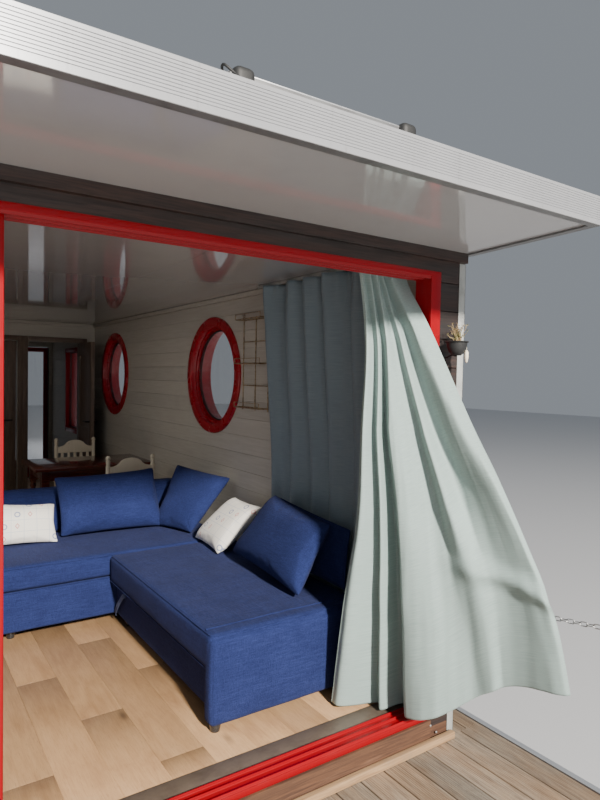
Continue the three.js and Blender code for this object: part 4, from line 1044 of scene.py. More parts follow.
def endWalls():
    inside = "x", -innerX - 0.1, innerX + 0.1

    def frontRule(c, n):
        if c.z < wallForm["sillBoard"] + 0.005 and c.y < wallY + 0.03:
            return 2
        return 1 if c.y > wallY + 0.06 and abs(n.y) > 0.3 else 0

    def rearRule(c, n):
        return 1 if c.y < rearY - 0.06 and abs(n.y) > 0.3 else 0

    for node, name, face, inFace, sign, rule, paints in (
            ("front_wall", "frontWall", wallY, wallInY, -1, frontRule, [cladding, creamAcross, redwood]),
            ("rear_wall", "rearWall", rearY, rearY - 0.1, 1, rearRule, [cladding, creamAcross])):
        lo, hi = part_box(node)
        outer = boardLines(outerBoard, "x", -halfCabin - 0.1, halfCabin + 0.1, face, sign, lo.z + 0.03,
                           wallForm["crown"] - 0.02)
        inner = boardLines(innerBoard, *inside, inFace, -sign, floorZ + 0.03, hi.z - 0.03)
        wall = cutBy(copyOf(node, name), vGrooves(outer + inner))
        paintByFace(wall, rule, paints)
        finished(wall, None, "dark_cladding", node)
    top = high("partition_wall").z - 0.03
    both = [line for y, sign in ((partitionY, -1), (partitionBack, 1))
            for line in boardLines(innerBoard, *inside, y, sign, floorZ + 0.03, top)]
    wall = cutBy(copyOf("partition_wall", "partitionBoards"), vGrooves(both))
    finished(wall, creamAcross, "cream_boards", "partition_wall")


trimForm = {"width": 0.038, "proud": 0.004, "cornice": 0.032, "skirting": 0.014, "tall": 0.055}


def wallTrims():
    width, proud, size = trimForm["width"], trimForm["proud"], trimForm["cornice"]
    low0, top = deckZ + 0.002, wallForm["crown"] - 0.001
    corniceLow, corniceTop = roofZ - size - 0.002, roofZ - 0.001
    posts, strips, skirt = [], [], []
    for sx in (1, -1):
        x = sx * halfCabin
        for y, sy in ((wallY, -1), (rearY, 1)):  # an angle of two strips at each corner
            endX, sideX = sorted((x - sx * width, x + sx * proud)), sorted((x, x + sx * proud))
            endY, sideY = sorted((y, y + sy * proud)), sorted((y + sy * proud, y - sy * width))
            posts += [((endX[0], endY[0], low0), (endX[1], endY[1], top)),
                      ((sideX[0], sideY[0], low0), (sideX[1], sideY[1], top))]
        x = sorted((sx * innerX, sx * (innerX - size)))
        for y0, y1 in ((wallInY + 0.03, partitionY - 0.001), (partitionBack + 0.001, rearY - 0.102)):
            strips.append(((x[0], y0, corniceLow), (x[1], y1, corniceTop)))
        x = sorted((sx * innerX, sx * (innerX - trimForm["skirting"])))
        skirt.append(((x[0], wallInY + 0.004, floorZ), (x[1], partitionY - 0.002, floorZ + trimForm["tall"])))
    for y0, y1 in ((partitionY - size, partitionY), (partitionBack, partitionBack + size)):
        strips.append(((-innerX + size + 0.001, y0, corniceLow), (innerX - size - 0.001, y1, corniceTop)))
    finished(boxes("cornerTrims", posts, 0.0012), cornerGrey, "trim_aluminium")
    finished(boxes("cornices", strips, 0.006), creamAcross, "cream_boards")
    finished(boxes("skirtings", skirt, 0.003), creamAcross, "cream_boards")


sideWalls()
endWalls()
wallTrims()
print("walls ready")


# Roof: a grooved edge profile swept round the panel with mitred corners
edgeForm = {"thick": 0.020, "lip": 0.034, "drop": 0.008, "grooves": 10, "first": 0.009, "pitch": 0.0085,
            "depth": 0.0022, "top": 0.102, "half": 2.0, "rise": 0.022}


def edgeSection(form):
    points = [(-form["thick"], -0.001), (-form["lip"], -0.001), (-form["lip"], -form["drop"]),
              (-0.0015, -form["drop"]), (0.0, -form["drop"] + 0.0015)]
    for k in range(form["grooves"]):
        z = form["first"] + k * form["pitch"]
        points += [(0.0, z), (-form["depth"], z + 0.0012), (-form["depth"], z + 0.0034), (0.0, z + 0.0046)]
    return points + [(0.0, form["top"] - 0.002), (-0.002, form["top"]), (-form["thick"], form["top"])]


def roofEdge(form):
    lo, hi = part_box("roof_fascia")
    kink, rise = wallY - 0.03, form["rise"]
    port = [(1, hi.y, 0), (0, kink, 0), (-1, lo.y, rise)]
    corners = [(-1, *spot) for spot in port[::-1]] + [(1, *spot) for spot in port]
    section = edgeSection(form)
    bm = bmesh.new()
    skin(bm, [[(sx * (form["half"] + out), y + sy * out, roofZ + up0 + up) for out, up in section]
              for sx, sy, y, up0 in corners], closed=True)
    for k, face in enumerate(bm.faces):
        face.material_index = int(k % len(section) < 4)  # the inner lip
    edge = painted(fromBm("roofEdgeProfile", bm, 20, True), fasciaMetal, lipGrey)
    finished(edge, None, "trim_aluminium", "roof_fascia")


def roofPanel(form):
    lo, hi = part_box("roof_panel")
    joint = 0.0012
    gaps = [((x - joint, wallY - 0.02, roofZ - 0.01), (x + joint, hi.y + 0.1, roofZ + 0.004))
            for x in (-1.0, 0.0, 1.0)]
    panel = cutBy(copyOf("roof_panel", "roofPanel"), boxes("joints", gaps))  # joints open on the underside
    paintByFace(panel, lambda c, n: 1 if n.z > 0.5 else 0, [panelGloss, skinGrey])
    finished(panel, None, "roof_white", "roof_panel")
    top = roofZ + 0.1
    section = [(-0.022, -0.002), (-0.013, 0.012), (0.013, 0.012), (0.022, -0.002)]
    bm = bmesh.new()
    skin(bm, [[(x, y, top + rise + z) for x, z in section]
              for y, rise in ((lo.y + 0.004, form["rise"]), (wallY - 0.03, 0.0), (hi.y - 0.004, 0.0))])
    rib = fromBm("rib", bm, 20, True)
    ribs = row("roofRibs", rib, 12, (-1.87, 0, 0), (0.34, 0, 0), skinGrey)
    dropped(rib)
    finished(ribs, None, "roof_white")


roofEdge(edgeForm)
roofPanel(edgeForm)


# Sliding front: frame, two leaves and their panes
def screwItem(radius):
    bm = bmesh.new()
    lathe(bm, [(0.0, 0.0022), (radius * 0.5, 0.0021), (radius * 0.85, 0.0015), (radius, 0.0004),
               (radius, -0.002), (0.0, -0.002)], (0, 0, 0), "z", 10)
    return fromBm("screw", bm, 30)


def turnedItem(item, axis, degrees):
    item.data.transform(Matrix.Rotation(math.radians(degrees), 4, axis))
    return item


def slidingFront():
    refined("door_frame", "slidingFrame", 0.0015, red, "red_frame")
    for leaf, body in (("fixed", "boat"), ("sliding", "sliding_leaf")):
        refined(f"door_leaf_{leaf}", f"leafRim_{leaf}", 0.003, red, "red_frame", body=body)
        pane = frame["nodes"][f"door_glass_{leaf}"]
        pane.data.materials.clear()
        pane.data.materials.append(doorGlass)
        lo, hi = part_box(f"door_glass_{leaf}")
        middle = (lo.y + hi.y) / 2
        strips = []
        for y0, y1 in ((middle - 0.0125, middle - 0.0065), (middle + 0.0065, middle + 0.0125)):
            strips += fourBars((lo.x, y0, lo.z), (hi.x, y1, hi.z), 0, 2, 0.009, 0.0002)
        finished(boxes(f"leafGasket_{leaf}", strips, 0.0015), rubber, "black_plastic", body=body)
    lo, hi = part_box("door_leaf_sliding")
    x, z = hi.x - 0.031, floorZ + 1.02
    half = [(0.0125, 0.09), (0.012, 0.108), (0.0005, 0.11)]  # proud of the leaf, and above the middle
    whole = [(out, -up) for out, up in half[::-1]] + half
    bm = bmesh.new()
    tube(bm, [(x, lo.y - out, z + up) for out, up in whole], 0.006, 10)
    finished(fromBm("leafPull", bm), rubber, "black_plastic", body="sliding_leaf")
    span = (-1.8, floorLow.y + 0.001, floorZ + 0.0002), (1.8, floorLow.y + 0.105, floorZ + 0.004)
    finished(boxes("thresholdStrip", [span], 0.0012), sillGrey, "trim_aluminium")
    screw = turnedItem(screwItem(0.006), "X", 90)
    heads = [row("heads", screw, 4, (x, wallY - 0.012, deckZ + z), (step, 0, 0), zinc)
             for x, z, step in ((-1.86, 0.045, 1.24), (-1.84, 0.088, 1.22))]
    dropped(screw)
    finished(joined("sillScrews", heads), None, "deck_steel")


slidingFront()


# Round windows: a turned frame with a stepped reveal, gaskets and a pane
ringForm = {"ring": 0.450, "reveal": 0.378, "sleeve": 0.3979, "flange": 0.022, "segments": 96}


def roundWindow(place, side, y, z):
    sign, wall = sides[side], halfCabin - innerX
    r, inner, out = ringForm["ring"], ringForm["reveal"], ringForm["flange"]
    face = [(inner, 0.005), (inner + 0.002, 0.0015), (inner + 0.006, 0.0), (r - 0.014, 0.0),
            (r - 0.006, 0.003), (r - 0.001, 0.010)]
    sleeve = ringForm["sleeve"]
    seat = [(0.0, 0.032), (0.002, 0.030), (0.013, 0.030), (0.015, 0.028), (0.015, 0.008), (0.026, 0.008),
            (0.026, 0.0055), (0.020, 0.0055)]
    profile = [(a, b - out) for a, b in face] + [(r, -0.0004), (sleeve, -0.0004)]
    profile += [(sleeve, wall + 0.0004), (r, wall + 0.0004)] + [(a, wall + out - b) for a, b in face[::-1]]
    profile += [(inner - a, 0.056 + b) for a, b in seat] + [(inner - a, 0.056 - b) for a, b in seat[::-1]]
    profile.append(profile[0])
    bm = bmesh.new()
    lathe(bm, profile, (0, 0, 0), "x", ringForm["segments"])
    for start, end in ((0.0615, 0.0655), (0.0465, 0.0505)):
        gasket = ((0.036, start), (0.0262, start), (0.0262, end), (0.034, end), (0.036, start))
        lathe(bm, [(inner - a, b) for a, b in gasket], (0, 0, 0), "x", ringForm["segments"], 1)
    ring = fromBm(f"windowRing_{side}_{place}", bm, 30)
    edge = inner - 0.021
    bm = bmesh.new()
    lathe(bm, [(0.0, 0.0515), (edge - 0.001, 0.0515), (edge, 0.0525), (edge, 0.0595), (edge - 0.001, 0.0605),
               (0.0, 0.0605)], (0, 0, 0), "x", ringForm["segments"])
    pane = fromBm(f"windowPane_{side}_{place}", bm, 30)
    for obj in (ring, pane):
        obj.data.transform(Matrix.Translation((sign * innerX, y, z)) @ Matrix.Diagonal((sign, 1, 1, 1)))
        if sign < 0:
            obj.data.flip_normals()
    painted(ring, redInside, rubber)
    finished(ring, None, "red_frame", f"porthole_{side}_{place}")
    finished(pane, glass, "window_glass")
    middle, count = (r + inner) / 2 - 0.002, 12
    turns = [(k + 0.5) * math.tau / count for k in range(count)]
    screws = copies(f"windowScrews_{side}_{place}", turnedItem(screwItem(0.0055), "Y", -90 * sign),
                    [(sign * (innerX - out), y + middle * math.cos(t), z + middle * math.sin(t))
                     for t in turns], 30)
    finished(screws, redInside, "red_frame")


def sideWindow(side):
    node = f"side_window_{side}"
    lo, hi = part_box(node)
    bar = 0.055
    clear = Vector((0, bar + 0.0004, bar + 0.0004))
    rim = boxes(f"uprightFrame_{side}", fourBars(lo, hi, 1, 2, bar, 0.0003), 0.004)
    finished(rim, red, "red_frame", node)
    start, end = lo + clear, hi - clear
    start.x, end.x = sorted((sides[side] * (innerX + 0.0485), sides[side] * (innerX + 0.0595)))
    finished(boxes(f"uprightPane_{side}", [(start, end)], 0.001), glass, "window_glass")
    gasket = []
    for x0, x1 in ((start.x - 0.006, start.x - 0.0004), (end.x + 0.0004, end.x + 0.006)):
        gasket += fourBars((x0, start.y, start.z), (x1, end.y, end.z), 1, 2, 0.01, 0.0002)
    finished(boxes(f"uprightGasket_{side}", gasket, 0.0015), rubber, "black_plastic")


for side in sides:
    for place in ("fore", "aft"):
        lo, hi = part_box(f"porthole_{side}_{place}")
        roundWindow(place, side, (lo.y + hi.y) / 2, (lo.z + hi.z) / 2)
    sideWindow(side)
print("windows ready")


# Hinged doors with their casings
def doors():
    def middleRule(c, n):
        return 1 if c.y > partitionBack - 0.0015 or c.y < partitionBack - 0.0425 else 0

    def portRule(c, n):
        return 1 if c.x > 1.6670 or c.x < 1.6260 else 0

    def rearRule(c, n):
        if c.y > rearY - 0.0015 or c.y < rearY - 0.0465:
            return 1
        inside = 1.150 < c.x < 1.710 and deckZ + 0.41 < c.z < deckZ + 2.01
        return 2 if inside and abs(n.y) > 0.5 and abs(c.y - (rearY - 0.024)) < 0.0065 else 0

    def leaf(node, name, body, slot, rule, *paints):
        door = bevelled(copyOf(node, name), 0.003)
        paintByFace(door, rule, paints)
        finished(door, None, slot, node, body=body)

    leaf("partition_door_middle", "middleDoor", "partition_leaf_middle", "brown_door", middleRule, doorBrown,
         rubber)
    leaf("partition_door_port", "portDoor", "partition_leaf_port", "brown_door", portRule, doorBrown, rubber)
    leaf("rear_door", "rearDoorLeaf", "rear_leaf", "red_frame", rearRule, red, rubber, glass)
    casing, foot, top, wide = [], floorZ + 0.0005, floorZ + 1.930, 0.055
    for x0, x1 in ((1.080, 1.680), (0.330, 0.970)):
        for y0, y1 in ((partitionY - 0.012, partitionY - 0.0002),
                       (partitionBack + 0.0002, partitionBack + 0.012)):
            far = x1 + (0.001 if x1 < 1 or y0 > partitionY else 0.034)
            casing += [((x0 - wide, y0, foot), (x0 - 0.001, y1, top + wide)),
                       ((far, y0, foot), (x1 + wide, y1, top + wide)),
                       ((x0 - 0.0008, y0, top + 0.001), (far - 0.0002, y1, top + wide))]
    finished(boxes("doorCasings", casing, 0.004), doorBrown, "brown_door")


doors()


# Floor: staggered strips of wood laid along the boat
plankForm = {**plankSize, "edge": 0.0009}


def plankNodes():
    g = Nodes("staggeredPlanks", Item="Object", Count="Int", Columns="Int", Start="Vector", Width="Float",
              Length="Float", Stagger="Float", Material="Material")
    line = g.node("GeometryNodeMeshLine", {"mode": "OFFSET"}, {"Count": g.read("Count")})
    order, columns = g.node("GeometryNodeInputIndex"), g.read("Columns")
    column, rowOrder = order.math("MODULO", columns), floorOf(order / columns)
    shift = fraction(column * g.read("Stagger"))
    place = g.node("ShaderNodeCombineXYZ", {}, ((column + 0.5) * g.read("Width"),
                                                (rowOrder - shift) * g.read("Length"), 0.0))
    moved = g.node("ShaderNodeVectorMath", {"operation": "ADD"}, (place, g.read("Start")))
    return g.close(g.node("GeometryNodeSetPosition", {}, {"Geometry": line, "Position": moved}))


def trimmed(obj, axis, start, end):
    bm = bmesh.new()
    bm.from_mesh(obj.data)
    normal = Vector([1.0 if k == axis else 0.0 for k in range(3)])
    for place, sign in ((start, -1), (end, 1)):
        spot = normal * place
        cut = bmesh.ops.bisect_plane(bm, geom=bm.verts[:] + bm.edges[:] + bm.faces[:], dist=1e-6,
                                     plane_co=spot, plane_no=normal * sign, clear_outer=True)
        edges = [e for e in cut["geom_cut"] if isinstance(e, bmesh.types.BMEdge)]
        bmesh.ops.holes_fill(bm, edges=edges, sides=0)
    bm.to_mesh(obj.data)
    bm.free()
    return obj


def plankFloor(form):
    lo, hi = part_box("cabin_floor")
    width, length, edge = form["width"], form["length"], form["edge"]
    columns = math.ceil((hi.x - lo.x) / width)
    rows = math.ceil((hi.y - lo.y) / length) + 1
    item = boxes("plankItem", [((-width / 2 + edge / 3, edge / 3, hi.z - 0.012),
                                (width / 2 - edge / 3, length - edge / 3, hi.z))], edge)
    planks = grown("planks", plankNodes(), item, Count=columns * rows, Columns=columns, Start=(lo.x, lo.y, 0),
                   Width=width, Length=length, Stagger=form["stagger"], Material=oak)
    dropped(item)
    trimmed(trimmed(planks, 1, lo.y, hi.y), 0, lo.x, hi.x)
    carrier = painted(boxes("carrier", [(lo, (hi.x, hi.y, hi.z - 0.0125))]), rubber)
    finished(joined("plankFloor", [planks, carrier]), None, "oak_laminate", "cabin_floor")


plankFloor(plankForm)
print("roof, doors and floor ready")


# Soft blocks of the sofa: rounded boxes with a crowned top and creases
def stations(half, radius, cell):
    edge = [0.0, 0.14, 0.38, 0.7, 1.0]
    inner = half - radius
    count = max(2, round(2 * inner / cell))
    middle = [-inner + 2 * inner * k / count for k in range(1, count)]
    return [-half + radius * e for e in edge] + middle + [half - radius * e for e in reversed(edge)]


def softBlock(name, lo, hi, radius, crown, seed, crease=0.0022):
    cell = 0.028  # the longest step between two points
    lo, hi = Vector(lo), Vector(hi)
    centre, half = (lo + hi) / 2, (hi - lo) / 2
    crown = {"x": 0.004, "y": 0.004, **crown}
    lists = [stations(half[k], radius, cell) for k in range(3)]
    counts = [len(s) for s in lists]
    keyed, points, faces = {}, [], []

    def vertex(*index):
        if index in keyed:
            return keyed[index]
        p = Vector(lists[k][index[k]] for k in range(3))
        q = Vector(max(-(half[k] - radius), min(half[k] - radius, p[k])) for k in range(3))
        d = p - q
        round3 = q + d.normalized() * radius if d.length > 1e-9 else p
        share = [max(0.0, 1 - (p[k] / half[k]) ** 2) for k in range(3)]
        rim = [abs(p[k]) > half[k] - 1e-6 for k in range(2)]
        bulge = Vector((math.copysign(crown["x"], p.x) * (share[1] * share[2]) ** 0.5 * rim[0],
                        math.copysign(crown["y"], p.y) * (share[0] * share[2]) ** 0.5 * rim[1],
                        crown["top"] * (share[0] * share[1]) ** 0.35 * (p.z > half.z - radius)))
        here = centre + round3 + bulge
        normal = d.normalized() if d.length > 1e-9 else Vector((0, 0, 1))
        broad = noise.noise(here * 5.0 + Vector((seed, 0, 0)))
        pull = broad + 0.6 * noise.noise(here * 14.0 + Vector((0, seed, 0)))
        keyed[index] = len(points)
        points.append(here + normal * pull * crease)
        return keyed[index]

    for axis in range(3):
        a, b = [k for k in range(3) if k != axis]
        for side in (0, counts[axis] - 1):
            for i in range(counts[a] - 1):
                for j in range(counts[b] - 1):
                    corners = []
                    for di, dj in ((0, 0), (1, 0), (1, 1), (0, 1)):
                        index = [0, 0, 0]
                        index[axis], index[a], index[b] = side, i + di, j + dj
                        corners.append(vertex(*index))
                    faces.append(corners)
    return turnedOut(meshFrom(name, points, faces))


def roundedLoop(x0, x1, y0, y1, z, radius):
    points, steps = [], 6
    for cx, cy, start in ((x1 - radius, y1 - radius, 0), (x0 + radius, y1 - radius, 1),
                          (x0 + radius, y0 + radius, 2), (x1 - radius, y0 + radius, 3)):
        for k in range(steps + 1):
            t = (start + k / steps) * math.pi / 2
            points.append((cx + radius * math.cos(t), cy + radius * math.sin(t), z))
    return points


def stretchedLoop(points):  # adds points where a loop's steps are long
    full, longest = [], 0.04
    for a, b in zip(points, points[1:] + points[:1]):
        a, b = Vector(a), Vector(b)
        count = max(1, math.ceil((b - a).length / longest))
        full += [a.lerp(b, k / count) for k in range(count)]
    return full


def welt(name, loops, radius):
    bm = bmesh.new()
    for loop in loops:
        whole = (Vector(loop[0]) - Vector(loop[-1])).length < 0.1
        path = stretchedLoop(loop) if whole else [Vector(p) for p in loop]
        wavy = [p + Vector((0, 0, noise.noise(p * 9.0) * 0.0015)) for p in path]
        tube(bm, wavy, radius, 8, closed=whole)
    return fromBm(name, bm, 60)


def footItem():
    bm = bmesh.new()
    lathe(bm, [(0.0, 0.0), (0.019, 0.0), (0.021, 0.002), (0.030, 0.055), (0.030, 0.064), (0.0, 0.064)],
          (0, 0, 0), "z", 24)
    return fromBm("footItem", bm, 35)


seatLow = floorZ + 0.058
seatTop = floorZ + 0.435
sofaForm = {"left": -0.500, "right": 1.742, "chaiseX": 0.880, "chaiseY": wallY + 0.385,
            "frontY": wallY + 1.830, "backY": wallY + 2.560, "endY": wallY + 2.730, "backTop": floorZ + 0.735,
            "seam": floorZ + 0.295, "recess": 0.045, "frontLow": floorZ + 0.030, "lip": floorZ + 0.272}


def seamOver(block, x0, x1, y):  # a line across a block's top
    path = []
    for k in range(41):
        x = x0 + (x1 - x0) * k / 40
        near = [v.co.z for v in block.data.vertices if abs(v.co.x - x) < 0.045 and abs(v.co.y - y) < 0.045]
        path.append((x, y, max(near, default=seatTop) + 0.0005))
    return path


def buildSofa(f):
    left, right, seam, lip = f["left"], f["right"], f["seam"], f["lip"]
    frontY, backY, endY = f["frontY"], f["backY"], f["endY"]
    chaiseX, chaiseY, inset = f["chaiseX"], f["chaiseY"], f["chaiseX"] + f["recess"]
    seat = softBlock("seat", (left, frontY + 0.002, seam + 0.001), (right, backY + 0.02, seatTop), 0.028,
                     {"top": 0.010}, seed=1)
    base = softBlock("base", (left, frontY, seatLow), (right, endY, seam - 0.001), 0.016,
                     {"top": 0.0, "x": 0.002, "y": 0.002}, crease=0.0012, seed=2)
    back = softBlock("back", (left, backY, seatTop - 0.01), (right, endY, f["backTop"]), 0.05,
                     {"top": 0.010, "y": 0.010}, seed=3)
    around = roundedLoop(left + 0.002, right - 0.002, frontY + 0.002, endY - 0.002, seam, 0.02)
    over = roundedLoop(left + 0.006, right - 0.006, frontY + 0.008, backY + 0.016, seatTop - 0.006, 0.03)
    seams = welt("seams", [around, over], 0.004)
    long = finished(joined("sofaLong", [seat, base, back, seams]), blue, "blue_fabric", "sofa_long")
    mattress = softBlock("mattress", (chaiseX, chaiseY + 0.012, lip), (right, frontY - 0.004, seatTop), 0.028,
                         {"top": 0.007, "x": 0.006}, seed=4)
    front = softBlock("front", (chaiseX + 0.001, chaiseY, f["frontLow"]),
                      (right - 0.001, chaiseY + 0.085, seatTop - 0.012), 0.026, {"top": 0.0, "y": 0.006},
                      crease=0.0016, seed=5)
    under = softBlock("under", (inset, chaiseY + 0.05, seatLow), (right - 0.002, frontY - 0.006, lip + 0.002),
                      0.012, {"top": 0.0, "x": 0.002, "y": 0.0}, crease=0.0012, seed=6)
    side = [(chaiseX + 0.004, chaiseY + 0.07 + (frontY - chaiseY - 0.09) * k / 40, lip + 0.003)
            for k in range(41)]
    around = roundedLoop(chaiseX + 0.008, right - 0.008, chaiseY + 0.020, frontY - 0.012, seatTop - 0.004, 0.03)
    over = seamOver(mattress, chaiseX + 0.012, right - 0.012, chaiseY + 0.088)
    edge = welt("edge", [around, side, over], 0.0035)
    chaise = finished(joined("sofaChaise", [mattress, front, under, edge]), blue, "blue_fabric",
                      "sofa_chaise")
    spots = [(x, y) for x in (left + 0.09, 0.327, right - 0.09) for y in (frontY + 0.09, endY - 0.08)]
    spots += [(chaiseX + 0.038, chaiseY + 0.034), (chaiseX + 0.10, frontY - 0.09)]
    spots += [(right - 0.06, y) for y in (chaiseY + 0.06, frontY - 0.09)]
    feet = copies("sofaFeet", footItem(), [(x, y, floorZ + 0.0006) for x, y in spots], 35)
    finished(feet, black, "black_plastic")
    sofaStrap(inset - 0.0015, 0.030, 0.0026)


def sofaStrap(x, width, thick):  # the pull low on the chaise's side
    path = [(0.0, 1.640, 0.212), (0.010, 1.655, 0.205), (0.016, 1.730, 0.130), (0.013, 1.790, 0.062),
            (0.004, 1.800, 0.052)]
    bm = bmesh.new()
    skin(bm, [[(x - out - e, wallY + y + a * 0.75, floorZ + z + a * 0.66)
               for a, e in ((0.0, 0.0), (0.0, thick), (width, thick), (width, 0.0))] for out, y, z in path])
    finished(fromBm("sofaStrap", bm, 60, True), strapGrey, "blue_fabric")


strapGrey = linen("strapLinen", (0.055, 0.075, 0.16), (0.20, 0.25, 0.40))
buildSofa(sofaForm)
print("sofa ready")


# Cushions: two panels sewn at the rim, creased by cloth simulation, then leaned between four corners
cushions = {  # corners from the top left round to the bottom left: x, y from the front wall, z over the deck
    "cushion_blue_back": {"thick": 0.160, "corners": (
        (0.682, 2.450, 0.985), (1.394, 2.450, 1.007), (1.434, 2.310, 0.588), (0.705, 2.345, 0.588))},
    "cushion_blue_corner": {"thick": 0.130, "corners": (
        (1.615, 2.520, 1.012), (1.800, 1.950, 0.970), (1.510, 2.010, 0.585), (1.370, 2.360, 0.588))},
    "cushion_blue_front": {"thick": 0.150, "corners": (
        (1.672, 1.155, 0.995), (1.615, 0.520, 0.957), (1.442, 0.555, 0.592), (1.482, 1.340, 0.628))},
    "cushion_blue_side": {"thick": 0.060, "corners": (
        (1.705, 1.180, 0.985), (1.712, 0.470, 0.925), (1.706, 0.500, 0.588), (1.700, 1.150, 0.588))},
    "cushion_white_left": {"thick": 0.100, "corners": (
        (0.249, 2.420, 0.855), (0.680, 2.420, 0.806), (0.664, 2.250, 0.585), (0.236, 2.300, 0.588))},
    "cushion_white_right": {"thick": 0.110, "corners": (
        (1.745, 1.800, 0.862), (1.725, 1.385, 0.866), (1.447, 1.457, 0.585), (1.486, 1.900, 0.588))},
}
pillowForm = {"cell": 0.0125, "pressure": 4.0, "frames": 20, "loose": 0.035, "cap": 0.009, "square": 26.0,
              "pull": 0.034, "flat": 2.6, "full": 0.52}


def outlineReach(w, h, angle, power):
    across, up = abs(math.cos(angle)) / (w / 2), abs(math.sin(angle)) / (h / 2)
    return (across ** power + up ** power) ** (-1 / power)


def panelSpot(u, v, w, h, form):  # a place on a rectangle with rounded corners and drawn-in sides
    angle = math.atan2(v * h, u * w)
    reach = max(abs(u), abs(v)) * outlineReach(w, h, angle, form["square"])
    x, z = reach * math.cos(angle), reach * math.sin(angle)
    return x * (1 - form["pull"] * (1 - v * v)), z * (1 - form["pull"] * (1 - u * u))


def spread(k, count):  # from -1 to 1, closer together near the rim
    s = 2 * k / count - 1
    return 0.55 * s + 0.45 * math.sin(s * math.pi / 2)


def pillow(name, corners, thick, form):
    topLeft, topRight, lowRight, lowLeft = (Vector(c) for c in corners)
    w = ((topRight - topLeft).length + (lowRight - lowLeft).length) / 2
    h = ((topRight - lowRight).length + (topLeft - lowLeft).length) / 2
    nx, nz = round(w / form["cell"]), round(h / form["cell"])
    points, faces, keyed = [], [], {}
    for side in (1, -1):
        for i in range(nx + 1):
            for j in range(nz + 1):
                if side < 0 and (i in (0, nx) or j in (0, nz)):
                    keyed[side, i, j] = keyed[1, i, j]
                    continue
                u, v = spread(i, nx), spread(j, nz)
                body = max(0.0, (1 - abs(u) ** form["flat"]) * (1 - abs(v) ** form["flat"])) ** form["full"]
                x, z = panelSpot(u, v, w, h, form)
                keyed[side, i, j] = len(points)
                points.append((x, side * body * thick / 2, z))
    for side in (1, -1):
        for i in range(nx):
            for j in range(nz):
                quad = [keyed[side, i + a, j + b] for a, b in ((0, 0), (1, 0), (1, 1), (0, 1))]
                faces.append(quad if side < 0 else quad[::-1])
    obj = meshFrom(name, points, faces)
    chart = obj.data.uv_layers.new(name="face")
    for loop in obj.data.loops:
        x, _, z = obj.data.vertices[loop.vertex_index].co
        chart.data[loop.index].uv = (x + w / 2, z + h / 2)
    return obj, w, h


def creased(objects, form):  # the cloth is cut a little loose; no point moves farther than the cap
    starts = [[v.co.copy() for v in obj.data.vertices] for obj in objects]
    for obj in objects:
        cloth = obj.modifiers.new("fill", "CLOTH")
        s = cloth.settings
        s.use_pressure = True
        s.uniform_pressure_force = form["pressure"]
        s.effector_weights.gravity = 0.0
        s.shrink_min = -form["loose"]
        s.quality = 5
        s.mass = 0.25
        s.tension_stiffness = s.compression_stiffness = 30
        s.shear_stiffness = 6
        s.bending_stiffness = 0.35
        s.air_damping = 2
        cloth.collision_settings.use_collision = False
        cloth.point_cache.frame_start = 1
        cloth.point_cache.frame_end = form["frames"]
    for number in range(1, form["frames"] + 1):
        bpy.context.scene.frame_set(number)
    for obj, start in zip(objects, starts):
        baked(obj)
        for v, before in zip(obj.data.vertices, start):
            moved = v.co - before
            size = moved.length
            v.co = before + moved * (form["cap"] * math.tanh(size / form["cap"]) / max(size, 1e-9))
    bpy.context.scene.frame_set(1)


def leaned(obj, corners, w, h):
    topLeft, topRight, lowRight, lowLeft = (Vector((x, wallY + y, deckZ + z)) for x, y, z in corners)
    for v in obj.data.vertices:
        x, y, z = v.co
        a, b = x / w * 1.02 + 0.5, z / h * 1.02 + 0.5
        middle = (lowLeft * (1 - a) + lowRight * a) * (1 - b) + (topLeft * (1 - a) + topRight * a) * b
        across = (lowRight - lowLeft) * (1 - b) + (topRight - topLeft) * b
        up = (topLeft - lowLeft) * (1 - a) + (topRight - lowRight) * a
        v.co = middle - across.cross(up).normalized() * y
        v.co.z = max(v.co.z, seatTop + 0.003)
    modifier = obj.modifiers.new("fine", "SUBSURF")
    modifier.levels = modifier.render_levels = 1
    baked(obj)
    obj.data.shade_smooth()


def buildCushions():
    made = {}
    for name, spec in cushions.items():
        made[name] = pillow(name + "_cover", spec["corners"], spec["thick"], pillowForm)
    creased([obj for obj, _, _ in made.values()], pillowForm)
    for name, (obj, w, h) in made.items():
        leaned(obj, cushions[name]["corners"], w, h)
        white = "white" in name
        finished(obj, whitePrint if white else blue, "white_fabric" if white else "blue_fabric", name)


buildCushions()
print("cushions ready")


# Curtains: folded sheets between boundary curves
def along(points, t):  # a smooth curve through points, by share of its length
    points = [Vector(p) for p in points]
    lengths = [0.0]
    for a, b in zip(points, points[1:]):
        lengths.append(lengths[-1] + (b - a).length)
    want = max(0.0, min(1.0, t)) * lengths[-1]
    k = next((i for i in range(len(points) - 1) if want <= lengths[i + 1] + 1e-12), 0)
    u = (want - lengths[k]) / max(lengths[k + 1] - lengths[k], 1e-9)
    a, b = points[max(k - 1, 0)], points[k]
    c, d = points[k + 1], points[min(k + 2, len(points) - 1)]
    return 0.5 * ((2 * b) + (c - a) * u + (2 * a - 5 * b + 4 * c - d) * u * u
                  + (3 * b - a - 3 * c + d) * u ** 3)


def profileAt(pairs, s):  # a smooth height through (place, height) pairs
    places = [p for p, _ in pairs]
    k = next((i for i in range(len(pairs) - 1) if s <= places[i + 1]), len(pairs) - 2)
    u = max(0.0, min(1.0, (s - places[k]) / (places[k + 1] - places[k])))
    ease = u * u * (3 - 2 * u)
    return pairs[k][1] * (1 - ease) + pairs[k + 1][1] * ease


def smooth(value, start, end):
    u = max(0.0, min(1.0, (value - start) / (end - start)))
    return u * u * (3 - 2 * u)


